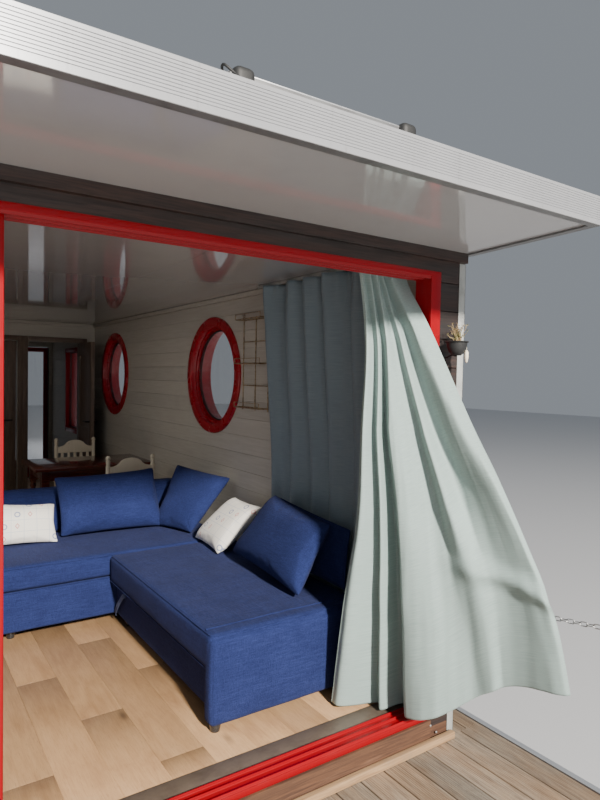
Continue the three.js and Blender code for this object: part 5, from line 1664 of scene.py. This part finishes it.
outerForm = {
    "left": [(1.456, 0.165, 2.274), (1.515, 0.165, 1.882), (1.504, 0.165, 1.474), (1.514, 0.19, 1.06),
             (1.503, 0.25, 0.66), (1.50, 0.323, 0.152)],
    "free": [(1.745, 0.165, 2.274), (1.745, 0.158, 2.20), (1.745, 0.118, 2.12), (1.745, -0.013, 1.935),
             (1.81, -0.199, 1.537), (1.86, -0.325, 1.29), (1.90, -0.452, 1.018), (1.93, -0.56, 0.77),
             (1.95, -0.627, 0.49)],
    "hem": [(1.50, 0.323, 0.152), (1.61, 0.20, 0.152), (1.70, 0.09, 0.165), (1.72, -0.15, 0.24),
            (1.837, -0.40, 0.428), (1.95, -0.627, 0.49)],
    "rows": [0.0, 0.185, 0.377, 0.572, 0.76, 1.0],
    # each crest and hollow: share across the cloth and height towards the terrace at each row
    "folds": [
        ([0, 0, 0, 0, 0, 0], [0.000, 0.000, 0.004, 0.008, 0.012, 0.012]),
        ([0.03, 0.03, 0.035, 0.045, 0.05, 0.05], [0.006, 0.010, 0.020, 0.028, 0.032, 0.032]),
        ([0.12, 0.13, 0.117, 0.135, 0.155, 0.175], [-0.008, -0.012, -0.012, -0.014, -0.018, -0.022]),
        ([0.17, 0.18, 0.15, 0.165, 0.19, 0.214], [0.008, 0.012, 0.022, 0.028, 0.030, 0.030]),
        ([0.24, 0.25, 0.217, 0.23, 0.255, 0.279], [-0.008, -0.012, -0.018, -0.022, -0.026, -0.030]),
        ([0.30, 0.31, 0.262, 0.30, 0.335, 0.357], [0.008, 0.017, 0.036, 0.046, 0.048, 0.046]),
        ([0.40, 0.48, 0.555, 0.57, 0.60, 0.66], [-0.008, -0.014, -0.026, -0.032, -0.014, -0.018]),
        ([0.44, 0.54, 0.60, 0.64, 0.70, 0.72], [0.004, 0.006, 0.004, 0.008, 0.004, -0.008]),
        ([0.48, 0.66, 0.68, 0.73, 0.79, 0.76], [-0.010, -0.022, -0.028, -0.032, -0.014, -0.018]),
        ([0.53, 0.756, 0.87, 0.95, 0.975, 0.975], [0.014, 0.022, 0.032, 0.040, 0.014, 0.034]),
        ([1, 1, 1, 1, 1, 1], [0.000, 0.000, 0.008, 0.022, 0.008, 0.030]),
    ],
    "pull": {"low": 0.82, "rise": 0.27, "width": 0.022, "high": 0.026, "from": 0.5, "full": 0.8},
    "depth": 1.5, "edge": 0.0014, "across": 240, "down": 150,
}
innerForm = {"y0": wallY + 0.335, "y1": wallY + 1.360, "top": 1.735, "low": 1.788, "lowZ": floorZ + 0.062,
             "waves": 5, "depth": 0.046, "lowDepth": 0.024, "edge": 0.0014, "across": 190, "down": 90}


def foldHeight(f, s, t):
    rows = f["rows"]
    row = max(k for k in range(len(rows) - 1) if rows[k] <= t or k == 0)
    share = (t - rows[row]) / (rows[row + 1] - rows[row])
    track = [[line[row] + (line[row + 1] - line[row]) * share for line in fold] for fold in f["folds"]]
    return profileAt(track, s)


def outerPlace(f, s, t):
    first, last = Vector(f["left"][0]), Vector(f["free"][0])
    top = Vector((first.x + s * (last.x - first.x), first.y, first.z))
    hem = along(f["hem"], s)
    left, free = along(f["left"], t), along(f["free"], t)
    corners = (first * (1 - s) * (1 - t) + last * s * (1 - t)
               + Vector(f["hem"][0]) * (1 - s) * t + Vector(f["hem"][-1]) * s * t)
    base = left * (1 - s) + free * s + top * (1 - t) + hem * t - corners
    out = Vector((free.y - left.y, left.x - free.x, 0)).normalized()
    p = f["pull"]
    offset = (t - p["low"] + p["rise"] * (1 - s)) / p["width"]
    pull = math.exp(-offset ** 2) * p["high"] * smooth(s, p["from"], p["full"])
    ripple = noise.noise(Vector((s * 7.0, t * 2.2, 3.1))) * 0.010 * smooth(t, 0.15, 0.5)
    fine = noise.noise(Vector((s * 24.0, t * 6.0, 7.7))) * 0.0030 * smooth(t, 0.05, 0.3)
    sag = noise.noise(Vector((s * 5.0, t * 17.0, 1.9))) * 0.004 * smooth(t, 0.35, 0.7)
    flat = 1 - 0.85 * smooth(s, 0.965, 1.0)
    return base + out * (foldHeight(f, s, t) * f["depth"] + pull + (ripple + sag) * flat + fine)


def innerPlace(f, s, t):
    down = smooth(t, 0.0, 0.62)
    warp = s + 0.018 * math.sin(s * 11.0 + t * 1.3)
    phase = warp * f["waves"] * math.tau
    wave = math.sin(phase) + 0.28 * math.sin(2 * phase + 0.8)
    depth = f["depth"] + (f["lowDepth"] - f["depth"]) * down
    pinch = (1 - smooth(t, 0.015, 0.12)) * 0.012 * math.sin(s * f["waves"] * 3 * math.tau)
    ripple = noise.noise(Vector((s * 9.0, t * 2.0, 1.3))) * 0.012 * smooth(t, 0.05, 0.4) * (1 - 0.6 * down)
    middle = f["top"] + (f["low"] - f["top"]) * down
    room = innerX - 0.012
    x = min(middle + depth * wave / 1.15 + pinch + ripple, room)
    top = deckZ + outerForm["left"][0][2]
    return Vector((x, f["y0"] + (f["y1"] - f["y0"]) * s + 0.012 * math.cos(phase) * (1 - down * 0.5),
                   top + (f["lowZ"] - top) * t))


def clothSheet(name, place, form, shift):
    across, down, edge = form["across"], form["down"], form["edge"]
    grid = [[place(form, i / across, j / down) + shift for i in range(across + 1)] for j in range(down + 1)]
    front, back = [], []
    for j in range(down + 1):
        for i in range(across + 1):
            alongS = grid[j][min(i + 1, across)] - grid[j][max(i - 1, 0)]
            alongT = grid[min(j + 1, down)][i] - grid[max(j - 1, 0)][i]
            normal = alongS.cross(alongT)
            if j == 0:
                normal.z = 0
            hemmed = i < 4 or i > across - 4 or j > down - 5
            normal = normal.normalized() * (edge / 2 * (2.0 if hemmed else 1.0))
            front.append(grid[j][i] + normal)
            back.append(grid[j][i] - normal)
    line, behind, faces = across + 1, len(front), []
    for j in range(down):
        for i in range(across):
            a = j * line + i
            faces.append((a, a + 1, a + line + 1, a + line))
            faces.append((behind + a, behind + a + line, behind + a + line + 1, behind + a + 1))
    rim = ([i for i in range(across)] + [j * line + across for j in range(down)]
           + [down * line + i for i in range(across, 0, -1)] + [j * line for j in range(down, 0, -1)])
    for a, b in zip(rim, rim[1:] + rim[:1]):
        faces.append((a, behind + a, behind + b, b))
    obj = meshFrom(name, front + back, faces)
    wide = sum((grid[down // 2][i + 1] - grid[down // 2][i]).length for i in range(across))
    tall = sum((grid[j + 1][across // 3] - grid[j][across // 3]).length for j in range(down))
    chart = obj.data.uv_layers.new(name="cloth")
    for loop in obj.data.loops:
        index = loop.vertex_index % behind
        chart.data[loop.index].uv = (index % line / across * wide, index // line / down * tall)
    print(name, "cloth", round(wide, 3), "x", round(tall, 3))
    return turnedOut(obj)


def buildCurtains():
    outer = clothSheet("curtainOuter", outerPlace, outerForm, Vector((0, wallY, deckZ)))
    finished(outer, sage, "curtain_fabric", "curtain_outer")
    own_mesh(outer)
    inner = clothSheet("curtainInner", innerPlace, innerForm, Vector((0, 0, 0)))
    # the inner curtain gets the darker copy of the satin, which is painted shade
    finished(inner, sageInnerPaintedShade, "curtain_fabric", "curtain_inner")
    refined("curtain_rail", "curtainTrack", 0.0025, cornerGrey, "trim_aluminium")


buildCurtains()
print("curtains ready")


# Table and chairs
tableForm = {"x0": 0.780, "x1": innerX - 0.006, "y0": wallY + 3.560, "y1": wallY + 4.230,
             "top": floorZ + 0.750, "thick": 0.032, "leg": 0.065}


def turnedLeg(bm, x, y, f):
    half, top = f["leg"] / 2, f["top"] - 0.012
    block = top - 0.17
    addBox(bm, (x - half, y - half, block), (x + half, y + half, top))
    lathe(bm, [(0.0, floorZ + 0.0004), (0.018, floorZ + 0.0004), (0.024, floorZ + 0.03),
               (0.020, floorZ + 0.06), (0.030, floorZ + 0.10), (0.0275, floorZ + 0.30), (0.031, block - 0.10),
               (0.0215, block - 0.075), (0.029, block - 0.055), (0.022, block - 0.032),
               (0.031, block - 0.012), (0.031, block + 0.005), (0.0, block + 0.005)], (x, y, 0), "z", 28)


def buildTable(f):
    x0, x1, y0, y1, under = f["x0"], f["x1"], f["y0"], f["y1"], f["top"] - f["thick"]
    top = boxes("tableTop", [((x0, y0, under), (x1, y1, f["top"]))], 0.007)
    rails = fourBars((x0 + 0.062, y0 + 0.052, under - 0.09), (x1 - 0.062, y1 - 0.052, under + 0.002), 1, 0,
                     0.022, -0.002)
    apron = boxes("tableApron", rails, 0.003)
    bm = bmesh.new()
    for x in (x0 + 0.0925, x1 - 0.0925):
        for y in (y0 + 0.0825, y1 - 0.0825):
            turnedLeg(bm, x, y, f)
    legs = bevelled(fromBm("tableLegs", bm, 0), 0.002, 2, 60)
    finished(joined("tableWood", [top, apron, legs]), darkRed, "mahogany", "table")


def crestOutline(half):
    points = [(-half, 0.0), (half, 0.0), (half, 0.062)]
    curves = [((half, 0.062), (half * 0.60, 0.060), (half * 0.46, 0.105)),
              ((half * 0.46, 0.105), (half * 0.33, 0.132), (0.0, 0.134))]
    for a, b, c in curves:
        for k in range(1, 7):
            t = k / 6
            points.append(tuple((1 - t) ** 2 * a[i] + 2 * t * (1 - t) * b[i] + t * t * c[i] for i in (0, 1)))
    mirror = [(-x, z) for x, z in points[3:-1]]
    return points + mirror[::-1] + [(-half, 0.062)]


def plate(bm, outline, y0, y1, z, scoop=0.0):  # an upright board with an outline in x and z
    skin(bm, [[(x, y - scoop * (1 - (x / 0.2) ** 2), z + up) for x, up in outline] for y in (y1, y0)])


def buildChair(name, node, x, y, turn):
    w, d, seat, back, post = 0.420, 0.430, 0.450, 0.880, 0.036
    half, p = w / 2, post / 2
    boards = [((-half - 0.005, -0.004, seat - 0.028), (half + 0.005, d + 0.015, seat))]
    for y0, z0 in ((0.006, seat + 0.06), (0.008, 0.20), (d - 0.028, 0.20)):
        boards.append(((-half + 0.01, y0, z0), (half - 0.01, y0 + 0.020, z0 + 0.04)))
    postX = (p - half, half - p)
    for x0 in postX:
        boards += [((x0 - 0.011, 0.02, 0.27), (x0 + 0.011, d - 0.02, 0.30)),
                   ((x0 - 0.013, 0.02, seat - 0.075), (x0 + 0.013, d - 0.02, seat - 0.026))]
    boards.append(((-half + 0.02, d - 0.030, seat - 0.075), (half - 0.02, d - 0.008, seat - 0.026)))
    frameWork = boxes("chairBoards", boards, 0.0045)
    bm = bmesh.new()
    ball = 0.021
    for x0 in postX:
        for y0, tall in ((p, back - 0.03), (d - p, seat - 0.005)):
            profile = [(0.0, 0.0004), (0.013, 0.0004), (0.0175, 0.06), (0.0135, 0.075), (0.018, 0.09),
                       (0.018, 0.26), (0.0145, 0.275), (0.018, 0.29), (0.018, tall - 0.05),
                       (0.0145, tall - 0.035), (0.018, tall - 0.02)]
            if y0 == p:  # a rear post ends in a ball
                turns = [-0.9 + (0.9 + math.pi / 2) * k / 8 for k in range(8)]
                profile += [(0.018, tall - 0.004), (0.0115, tall + 0.002)]
                profile += [(ball * math.cos(a), tall + 0.016 + ball * math.sin(a)) for a in turns]
                profile += [(0.0, tall + 0.016 + ball)]
            else:
                profile += [(0.018, tall), (0.0, tall)]
            lathe(bm, profile, (x0, y0, 0), "z", 20)
    posts = fromBm("chairPosts", bm, 40)
    bm = bmesh.new()
    plate(bm, crestOutline(half - p), 0.006, 0.028, back - 0.150, 0.004)
    edge = [(0.012, 0.0), (0.014, 0.09), (0.021, 0.15), (0.015, 0.22), (0.014, 0.27)]
    shape = [(-0.012, 0.0)] + edge + [(-a, b) for a, b in edge[:0:-1]]
    for k in (-0.62, -0.3, 0.0, 0.3, 0.62):
        plate(bm, [(k * half + a, b * (back - seat - 0.22) / 0.27) for a, b in shape], 0.010, 0.021,
              seat + 0.08)
    upright = bevelled(fromBm("chairSlats", bm, 0, True), 0.003, 2, 50)
    chair = joined(name, [frameWork, posts, upright])
    chair.data.transform(Matrix.Translation((x, y, floorZ)) @ Matrix.Rotation(turn, 4, "Z"))
    finished(chair, enamel, "cream_paint", node)


buildTable(tableForm)
buildChair("chairNear", "chair_near", 1.447, wallY + 3.090, 0.0)
buildChair("chairFar", "chair_far", 1.400, wallY + 4.760, math.pi)
print("table and chairs ready")


# Wire rack on the port wall, and the plant holder beside the opening
rackForm = {"y0": wallY + 1.520, "y1": wallY + 1.860, "z0": deckZ + 1.490, "z1": deckZ + 2.100,
            "depth": 0.070}


def buildRack(f):
    y0, y1, z0, z1 = f["y0"], f["y1"], f["z0"], f["z1"]
    x0 = innerX - 0.0055
    x1 = x0 - f["depth"]
    bm = bmesh.new()
    for k in range(5):
        z = z0 + (z1 - z0) * k / 4
        if k % 2 == 0:  # shelf frames stand out from the wall
            tube(bm, [(x0, y0, z), (x1, y0, z), (x1, y1, z), (x0, y1, z)], 0.0036, 8)
            for y in [y0 + (y1 - y0) * j / 7 for j in range(1, 7)]:
                tube(bm, [(x0, y, z - 0.004), (x1, y, z - 0.004), (x1, y, z + 0.002)], 0.0016, 6)
            tube(bm, [(x1, y0, z + 0.034), (x1, y1, z + 0.034)], 0.0024, 6)
            for y in (y0, y1):
                tube(bm, [(x1, y, z), (x1, y, z + 0.036)], 0.0024, 6)
        tube(bm, [(x0, y0 - 0.004, z), (x0, y1 + 0.004, z)], 0.0034, 8)
    for j in range(3):
        y = y0 + (y1 - y0) * j / 2
        tube(bm, [(x0 + 0.0005, y, z0 - 0.02), (x0 + 0.0005, y, z1 + 0.02)], 0.0034, 8)
    turns = [k * math.tau / 14 for k in range(14)]
    for y in (y0, y1):  # hanging loops over two wall hooks
        tube(bm, [(x0, y + 0.012 * math.sin(a), z1 + 0.030 - 0.012 * math.cos(a)) for a in turns], 0.0024, 6,
             closed=True)
    finished(fromBm("wireRack", bm, 60), wire, "rack_wire", "wire_rack")
    bm = bmesh.new()
    z = z1 + 0.036
    for y in (y0, y1):
        tube(bm, [(innerX + 0.001, y, z), (x0 - 0.012, y, z), (x0 - 0.017, y, z + 0.012)], 0.0022, 8)
        lathe(bm, [(0.0, 0.0), (0.007, 0.0), (0.007, 0.002), (0.0, 0.003)], (innerX, y, z), "x", 16)
    finished(fromBm("rackHooks", bm, 50), zinc, "galvanised_steel")


holderForm = {"x": 1.846, "y": wallY - 0.082, "plate": deckZ + 1.876, "radius": 0.050, "twigs": 46}


def buildHolder(f):
    x, y, z, wide = f["x"], f["y"], f["plate"], f["radius"]
    bm = bmesh.new()
    lathe(bm, [(0.0, z - 0.002), (wide, z - 0.002), (wide + 0.003, z + 0.001), (wide, z + 0.004),
               (0.0, z + 0.002)], (x, y, 0), "z", 40)
    lathe(bm, [(0.0, z - 0.060), (0.018, z - 0.060), (0.034, z - 0.046), (0.043, z - 0.024),
               (0.046, z - 0.0025), (0.042, z - 0.0025), (0.039, z - 0.022), (0.030, z - 0.042),
               (0.0, z - 0.050)], (x, y, 0), "z", 36)
    tube(bm, [(x, wallY + 0.0005, z - 0.075), (x, wallY - 0.006, z - 0.075), (x, y + 0.03, z - 0.058),
              (x, y, z - 0.062)], 0.0035, 8)
    addBox(bm, (x - 0.016, wallY - 0.0042, z - 0.115), (x + 0.016, wallY - 0.0002, z - 0.045))
    finished(fromBm("plantHolder", bm, 45), rubber, "black_plastic")
    bm = bmesh.new()
    rnd = random.Random(23)
    for _ in range(f["twigs"]):
        turn, reach, tall = rnd.uniform(0, math.tau), rnd.uniform(0.015, 0.055), rnd.uniform(0.03, 0.12)
        root = Vector((x + rnd.uniform(-0.014, 0.014), y + rnd.uniform(-0.014, 0.014), z + 0.002))
        path = [root]
        for t in (0.2, 0.4, 0.6, 0.8, 1.0):
            away = reach * t ** 1.4
            path.append(root + Vector((math.cos(turn) * away, math.sin(turn) * away,
                                       tall * (t - 0.35 * t * t * rnd.uniform(0.4, 1.5)))))
        path = [Vector((p.x, min(p.y, wallY - 0.004), p.z)) for p in path]
        tube(bm, path, lambda t: 0.0017 - 0.0011 * t, 5)
        for p in path[2:]:
            if rnd.random() < 0.7:  # a leaf
                a = rnd.uniform(0, math.tau)
                size = rnd.uniform(0.006, 0.013)
                side = Vector((math.cos(a), math.sin(a), rnd.uniform(-0.3, 0.8))).normalized() * size
                across = side.cross(Vector((0.2, 0.3, 1))).normalized() * size * 0.35
                corners = (p, p + side * 0.5 + across, p + side, p + side * 0.5 - across)
                bm.faces.new([bm.verts.new(corner) for corner in corners])
    finished(fromBm("driedPlant", bm, 60), plant, "raw_pine")
    bm = bmesh.new()
    px, py = x + 0.030, y - 0.030
    tube(bm, [(px, py, z - 0.002), (px + 0.001, py, z - 0.035)], 0.0008, 5)
    lathe(bm, [(0.0, z - 0.094), (0.006, z - 0.088), (0.0095, z - 0.066), (0.009, z - 0.046),
               (0.004, z - 0.036), (0.0, z - 0.034)], (px, py, 0), "z", 20)
    finished(fromBm("holderPendant", bm, 50), enamel, "cream_paint")


buildRack(rackForm)
buildHolder(holderForm)
print("rack and plant holder ready")


# Guard posts and chains of the terrace
postForm = {"x": 2.140, "height": 0.880, "radius": 0.021, "middle": wallY - 1.240, "bow": cadBox[0].y + 0.090}
chainForm = {"wire": 0.0034, "inner": 0.0066, "long": 0.034, "pitch": 0.0262, "x": 2.1137,
             "top": deckZ + 0.845, "start": (1.915, wallY - 0.035, deckZ + 0.720), "sags": (0.038, 0.070)}


def linkItem(f):
    bm = bmesh.new()
    straight = f["long"] / 2 - f["inner"] - f["wire"]
    path = []
    radius = f["inner"] + f["wire"] / 2
    for side in (1, -1):
        for k in range(9):
            a = math.pi * k / 8 - math.pi / 2
            path.append((side * (straight + radius * math.cos(a)), side * radius * math.sin(a), 0.0))
    tube(bm, path, f["wire"] / 2 + 0.0004, 8, closed=True)
    return fromBm("linkItem", bm, 60)


def chainPath(f):
    a = Vector(f["start"])
    b = Vector((f["x"], postForm["middle"], f["top"]))
    c = Vector((f["x"], postForm["bow"], f["top"]))
    points, steps = [], 28
    for start, end, sag in ((a, b, f["sags"][0]), (b, c, f["sags"][1])):
        for k in range(steps + (start is b)):
            t = k / steps
            points.append(start.lerp(end, t) - Vector((0, 0, sag * 4 * t * (1 - t))))
    return points


def buildGuards(f, c):
    item = linkItem(c)
    for side, s in sides.items():
        points = [Vector((p.x * s, p.y, p.z)) for p in chainPath(c)]
        links = alongPath(f"links_{side}", item, points, c["pitch"], math.pi / 2, zinc)
        links.data.shade_smooth()
        finished(links, zinc, "galvanised_steel", f"guard_chain_{side}")
        for place in ("middle", "bow"):
            post = joined(f"guardPost_{side}_{place}", guardPost(s, s * f["x"], f[place], f, c))
            finished(post, zinc, "galvanised_steel", f"guard_post_{side}_{place}")
    dropped(item)


def guardPost(s, x, y, f, c):  # a base plate, and a turned post with its bolts and the chain's eye
    top, flange, r, ball = deckZ + f["height"], deckZ + 0.008, f["radius"], 0.027
    plateX = sorted((x - s * 0.045, x + s * 0.017))
    base = boxes("base", [((plateX[0], y - 0.045, deckZ + 0.0003), (plateX[1], y + 0.045, flange))], 0.0022)
    knob = [-1.0 + (1.0 + math.pi / 2) * k / 12 for k in range(12)]
    profile = [(0.0, flange - 0.002), (r + 0.006, flange - 0.002), (r + 0.005, flange + 0.004),
               (r + 0.0015, flange + 0.009), (r, flange + 0.012), (r, top - 0.022), (r + 0.002, top - 0.020),
               (r + 0.002, top - 0.014)]
    profile += [(ball * math.cos(a), top + 0.005 + ball * math.sin(a)) for a in knob] + [(0.0, top + 0.032)]
    bm = bmesh.new()
    lathe(bm, profile, (x, y, 0), "z", 36)
    for dx in (-0.034, 0.006):
        for dy in (-0.034, 0.034):
            lathe(bm, [(0.0, flange), (0.0065, flange), (0.0065, flange + 0.0012), (0.0052, flange + 0.0016),
                       (0.0052, flange + 0.0050), (0.0040, flange + 0.0058), (0.0, flange + 0.006)],
                  (x + s * dx, y + dy, 0), "z", 6)
    turns = [k * math.tau / 12 for k in range(12)]
    tube(bm, [(s * (c["x"] + 0.003 + 0.0075 * (1 - math.cos(a))), y, c["top"] + 0.0075 * math.sin(a))
              for a in turns], 0.0022, 6, closed=True)
    return [base, fromBm("post", bm, 35)]


buildGuards(postForm, chainForm)
print("guards ready")


# Solar panel and its mounts
def buildSolar():  # a thin framed panel held down by four corner blocks
    lo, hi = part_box("solar_panel")
    edge, low0, top = 0.016, lo.z - 0.022, lo.z - 0.001
    lo.y, hi.y, hi.x = lo.y - 0.035, hi.y - 0.035, hi.x - 0.05

    def framing(z0, z1):
        return fourBars((lo.x, lo.y, z0), (hi.x, hi.y, z1), 0, 1, edge, -0.001)

    # the dark rim under a thin bright alloy lip is partly a dark frame and partly painted shade on the frame's
    # side
    rim = boxes("solarRim", framing(low0, top - 0.0035), 0.001)
    lip = boxes("solarLip", framing(top - 0.004, top), 0.001)
    inset = edge - 0.002
    span = (lo.x + inset, lo.y + inset, low0 + 0.004), (hi.x - inset, hi.y - inset, top - 0.003)
    face = boxes("solarFace", [span])
    panel = joined("solarPanel", [painted(rim, lipGrey), painted(lip, alloy), painted(face, cellsBlue)])
    finished(panel, None, "solar_glass", "solar_panel")
    foot, wide, deep = low("solar_mounts").z + 0.001, 0.060, 0.085
    feet = [((x, y, foot), (x + wide, y + deep, top + 0.010))
            for x in (lo.x + 0.004, hi.x - wide + 0.004) for y in (lo.y - 0.022, hi.y + 0.022 - deep)]
    rails = [((x - 0.015, lo.y + 0.05, foot), (x + 0.015, hi.y - 0.05, low0 - 0.001))
             for x in (lo.x + 0.12, hi.x - 0.12)]
    carried = joined("solarFeet", [bevelled(boxes("corners", feet), 0.018, 4), boxes("rails", rails, 0.004)])
    finished(carried, rubber, "black_plastic", "solar_mounts")
    start = Vector((lo.x + 0.055, lo.y - 0.020, lo.z - 0.010))
    loop = [start + Vector(p) for p in (
        (-0.045, 0.060, -0.010), (-0.075, 0.030, 0.010), (-0.085, -0.002, 0.004), (-0.060, -0.012, -0.016),
        (-0.02, 0.006, -0.022), (0.01, 0.05, -0.014))]
    cable = [a.lerp(b, k / 5) for a, b in zip(loop, loop[1:]) for k in range(5)] + [loop[-1]]
    for _ in range(3):
        inner = [(a + b * 2 + c) / 4 for a, b, c in zip(cable, cable[1:], cable[2:])]
        cable = [cable[0]] + inner + [cable[-1]]
    bm = bmesh.new()
    tube(bm, cable, 0.0035, 8)
    finished(fromBm("solarCable", bm, 60), rubber, "black_plastic")


buildSolar()


# Helm: console with dials and a lever, and the wheel
helmForm = {"x": -1.520, "y": wallY + 0.620, "height": 0.980, "wheel": 0.170}


def buildHelm(f):
    refined("helm_console", "helmBox", 0.006, cream, "cream_boards", 3)
    top = floorZ + f["height"]
    normal = Vector((0, 0.120, 0.130)).normalized()
    start = Vector((f["x"], f["y"] - 0.065, top - 0.06)) + normal * 0.0003
    turn = normal.rotation_difference(Vector((0, 0, 1))).inverted().to_matrix().to_4x4()
    parts = []
    for dx, size in ((-0.12, 0.040), (0.0, 0.050), (0.12, 0.040)):  # dials with a hand
        bm = bmesh.new()
        lathe(bm, [(0.0, 0.0), (size, 0.0), (size, 0.006), (size - 0.004, 0.009), (size - 0.007, 0.006),
                   (size - 0.008, 0.002), (0.0, 0.002)], (0, 0, 0), "z", 40)
        addBox(bm, (-0.0012, -0.004, 0.0022), (0.0012, size - 0.016, 0.0036))
        parts.append(fromBm("dial", bm, 40))
        parts[-1].data.transform(Matrix.Translation(start + Vector((dx, 0, 0))) @ turn)
    bm = bmesh.new()
    base = Vector((f["x"] + 0.13, f["y"] - 0.235, top + 0.0003))
    addBox(bm, base + Vector((-0.035, -0.05, 0)), base + Vector((0.035, 0.05, 0.028)))
    tube(bm, [base + Vector((0, y, z)) for y, z in ((0, 0.02), (0.012, 0.10), (0.020, 0.125))], 0.006, 12)
    lathe(bm, [(0.0, -0.022), (0.012, -0.022), (0.016, -0.01), (0.016, 0.012), (0.010, 0.022), (0.0, 0.024)],
          base + Vector((0, 0.020, 0.138)), "z", 24)
    parts.append(bevelled(fromBm("lever", bm, 0), 0.0025, 2, 50))
    finished(joined("helmFittings", parts), rubber, "black_plastic")
    centre = Vector((f["x"], f["y"] + 0.060, top - 0.260))

    def onRim(a):
        return centre + Vector((f["wheel"] * math.cos(a), 0, f["wheel"] * math.sin(a)))

    bm = bmesh.new()
    tube(bm, [onRim(k * math.tau / 72) for k in range(72)], 0.0125, 16, closed=True)
    for k in range(3):
        tip = onRim((k * 2 + 0.25) * math.pi / 3)
        tube(bm, [centre.lerp(tip, j / 6) - Vector((0, 0.010 * math.sin(math.pi * j / 6), 0))
                  for j in range(7)], lambda t: 0.0105 - 0.003 * t, 12)
    lathe(bm, [(0.0, 0.022), (0.026, 0.022), (0.034, 0.012), (0.040, -0.012), (0.036, -0.020),
               (0.014, -0.022), (0.014, -0.0595), (0.0, -0.0595)], centre, "y", 40)
    finished(fromBm("wheelRim", bm, 50), rubber, "black_plastic", "helm_wheel", body="wheel")


buildHelm(helmForm)
print("solar panel and helm ready")


# Outboard engine: rounded castings, a smooth hood with a seam, louvres and screws
def melted(node, name, voxel, rounds=3):
    obj = copyOf(node, name)
    modifier = obj.modifiers.new("remesh", "REMESH")
    modifier.mode = "VOXEL"
    modifier.voxel_size = voxel
    smoother = obj.modifiers.new("smooth", "SMOOTH")
    smoother.factor = 0.5
    smoother.iterations = rounds
    baked(obj)
    obj.data.shade_smooth()
    return obj


def casting(node, name, voxel, rounds, body):
    finished(melted(node, name, voxel, rounds), cast, "cast_alloy", node, body=body)


def buildOutboard():
    sternY, frameTop = low("outboard_bracket").y - 0.0003, low("deck_rear").z
    hoodLow, louvreY = frameTop + 0.190, sternY + 0.150 + 0.22
    engine = melted("outboard_engine", "engineBody", 0.0065)
    paintByFace(engine, lambda c, n: 0 if c.z > hoodLow + 0.012 else 1, [black, cast])
    finished(engine, None, "engine_paint", "outboard_engine", body="engine")
    levels = [hoodLow + 0.20 + k * 0.018 for k in range(5)]
    slats = [((x - 0.0022, louvreY, z), (x + 0.0022, louvreY + 0.08, z + 0.007)) for z in levels
             for x in (-0.125, 0.125)]
    finished(boxes("engineLouvres", slats, 0.0015), rubber, "black_plastic", body="engine")
    casting("outboard_bracket", "clampBody", 0.0035, 2, "boat")
    bm = bmesh.new()
    y, z = sternY + 0.014, frameTop - 0.075
    for x in (-0.055, 0.055):  # clamp screws with turned handles
        lathe(bm, [(0.0, -0.001), (0.016, -0.001), (0.016, 0.010), (0.009, 0.012), (0.009, 0.040),
                   (0.0, 0.040)], (x, y, z), "y", 20)
        tube(bm, [(x - 0.030, y + 0.034, z), (x + 0.030, y + 0.034, z)], 0.0035, 10)
    finished(fromBm("clampScrews", bm, 40), zinc, "galvanised_steel")
    casting("outboard_swivel", "swivelBody", 0.003, 2, "engine_swivel")
    casting("outboard_propeller", "propellerBody", 0.0022, 3, "screw")


buildOutboard()
print("outboard ready")
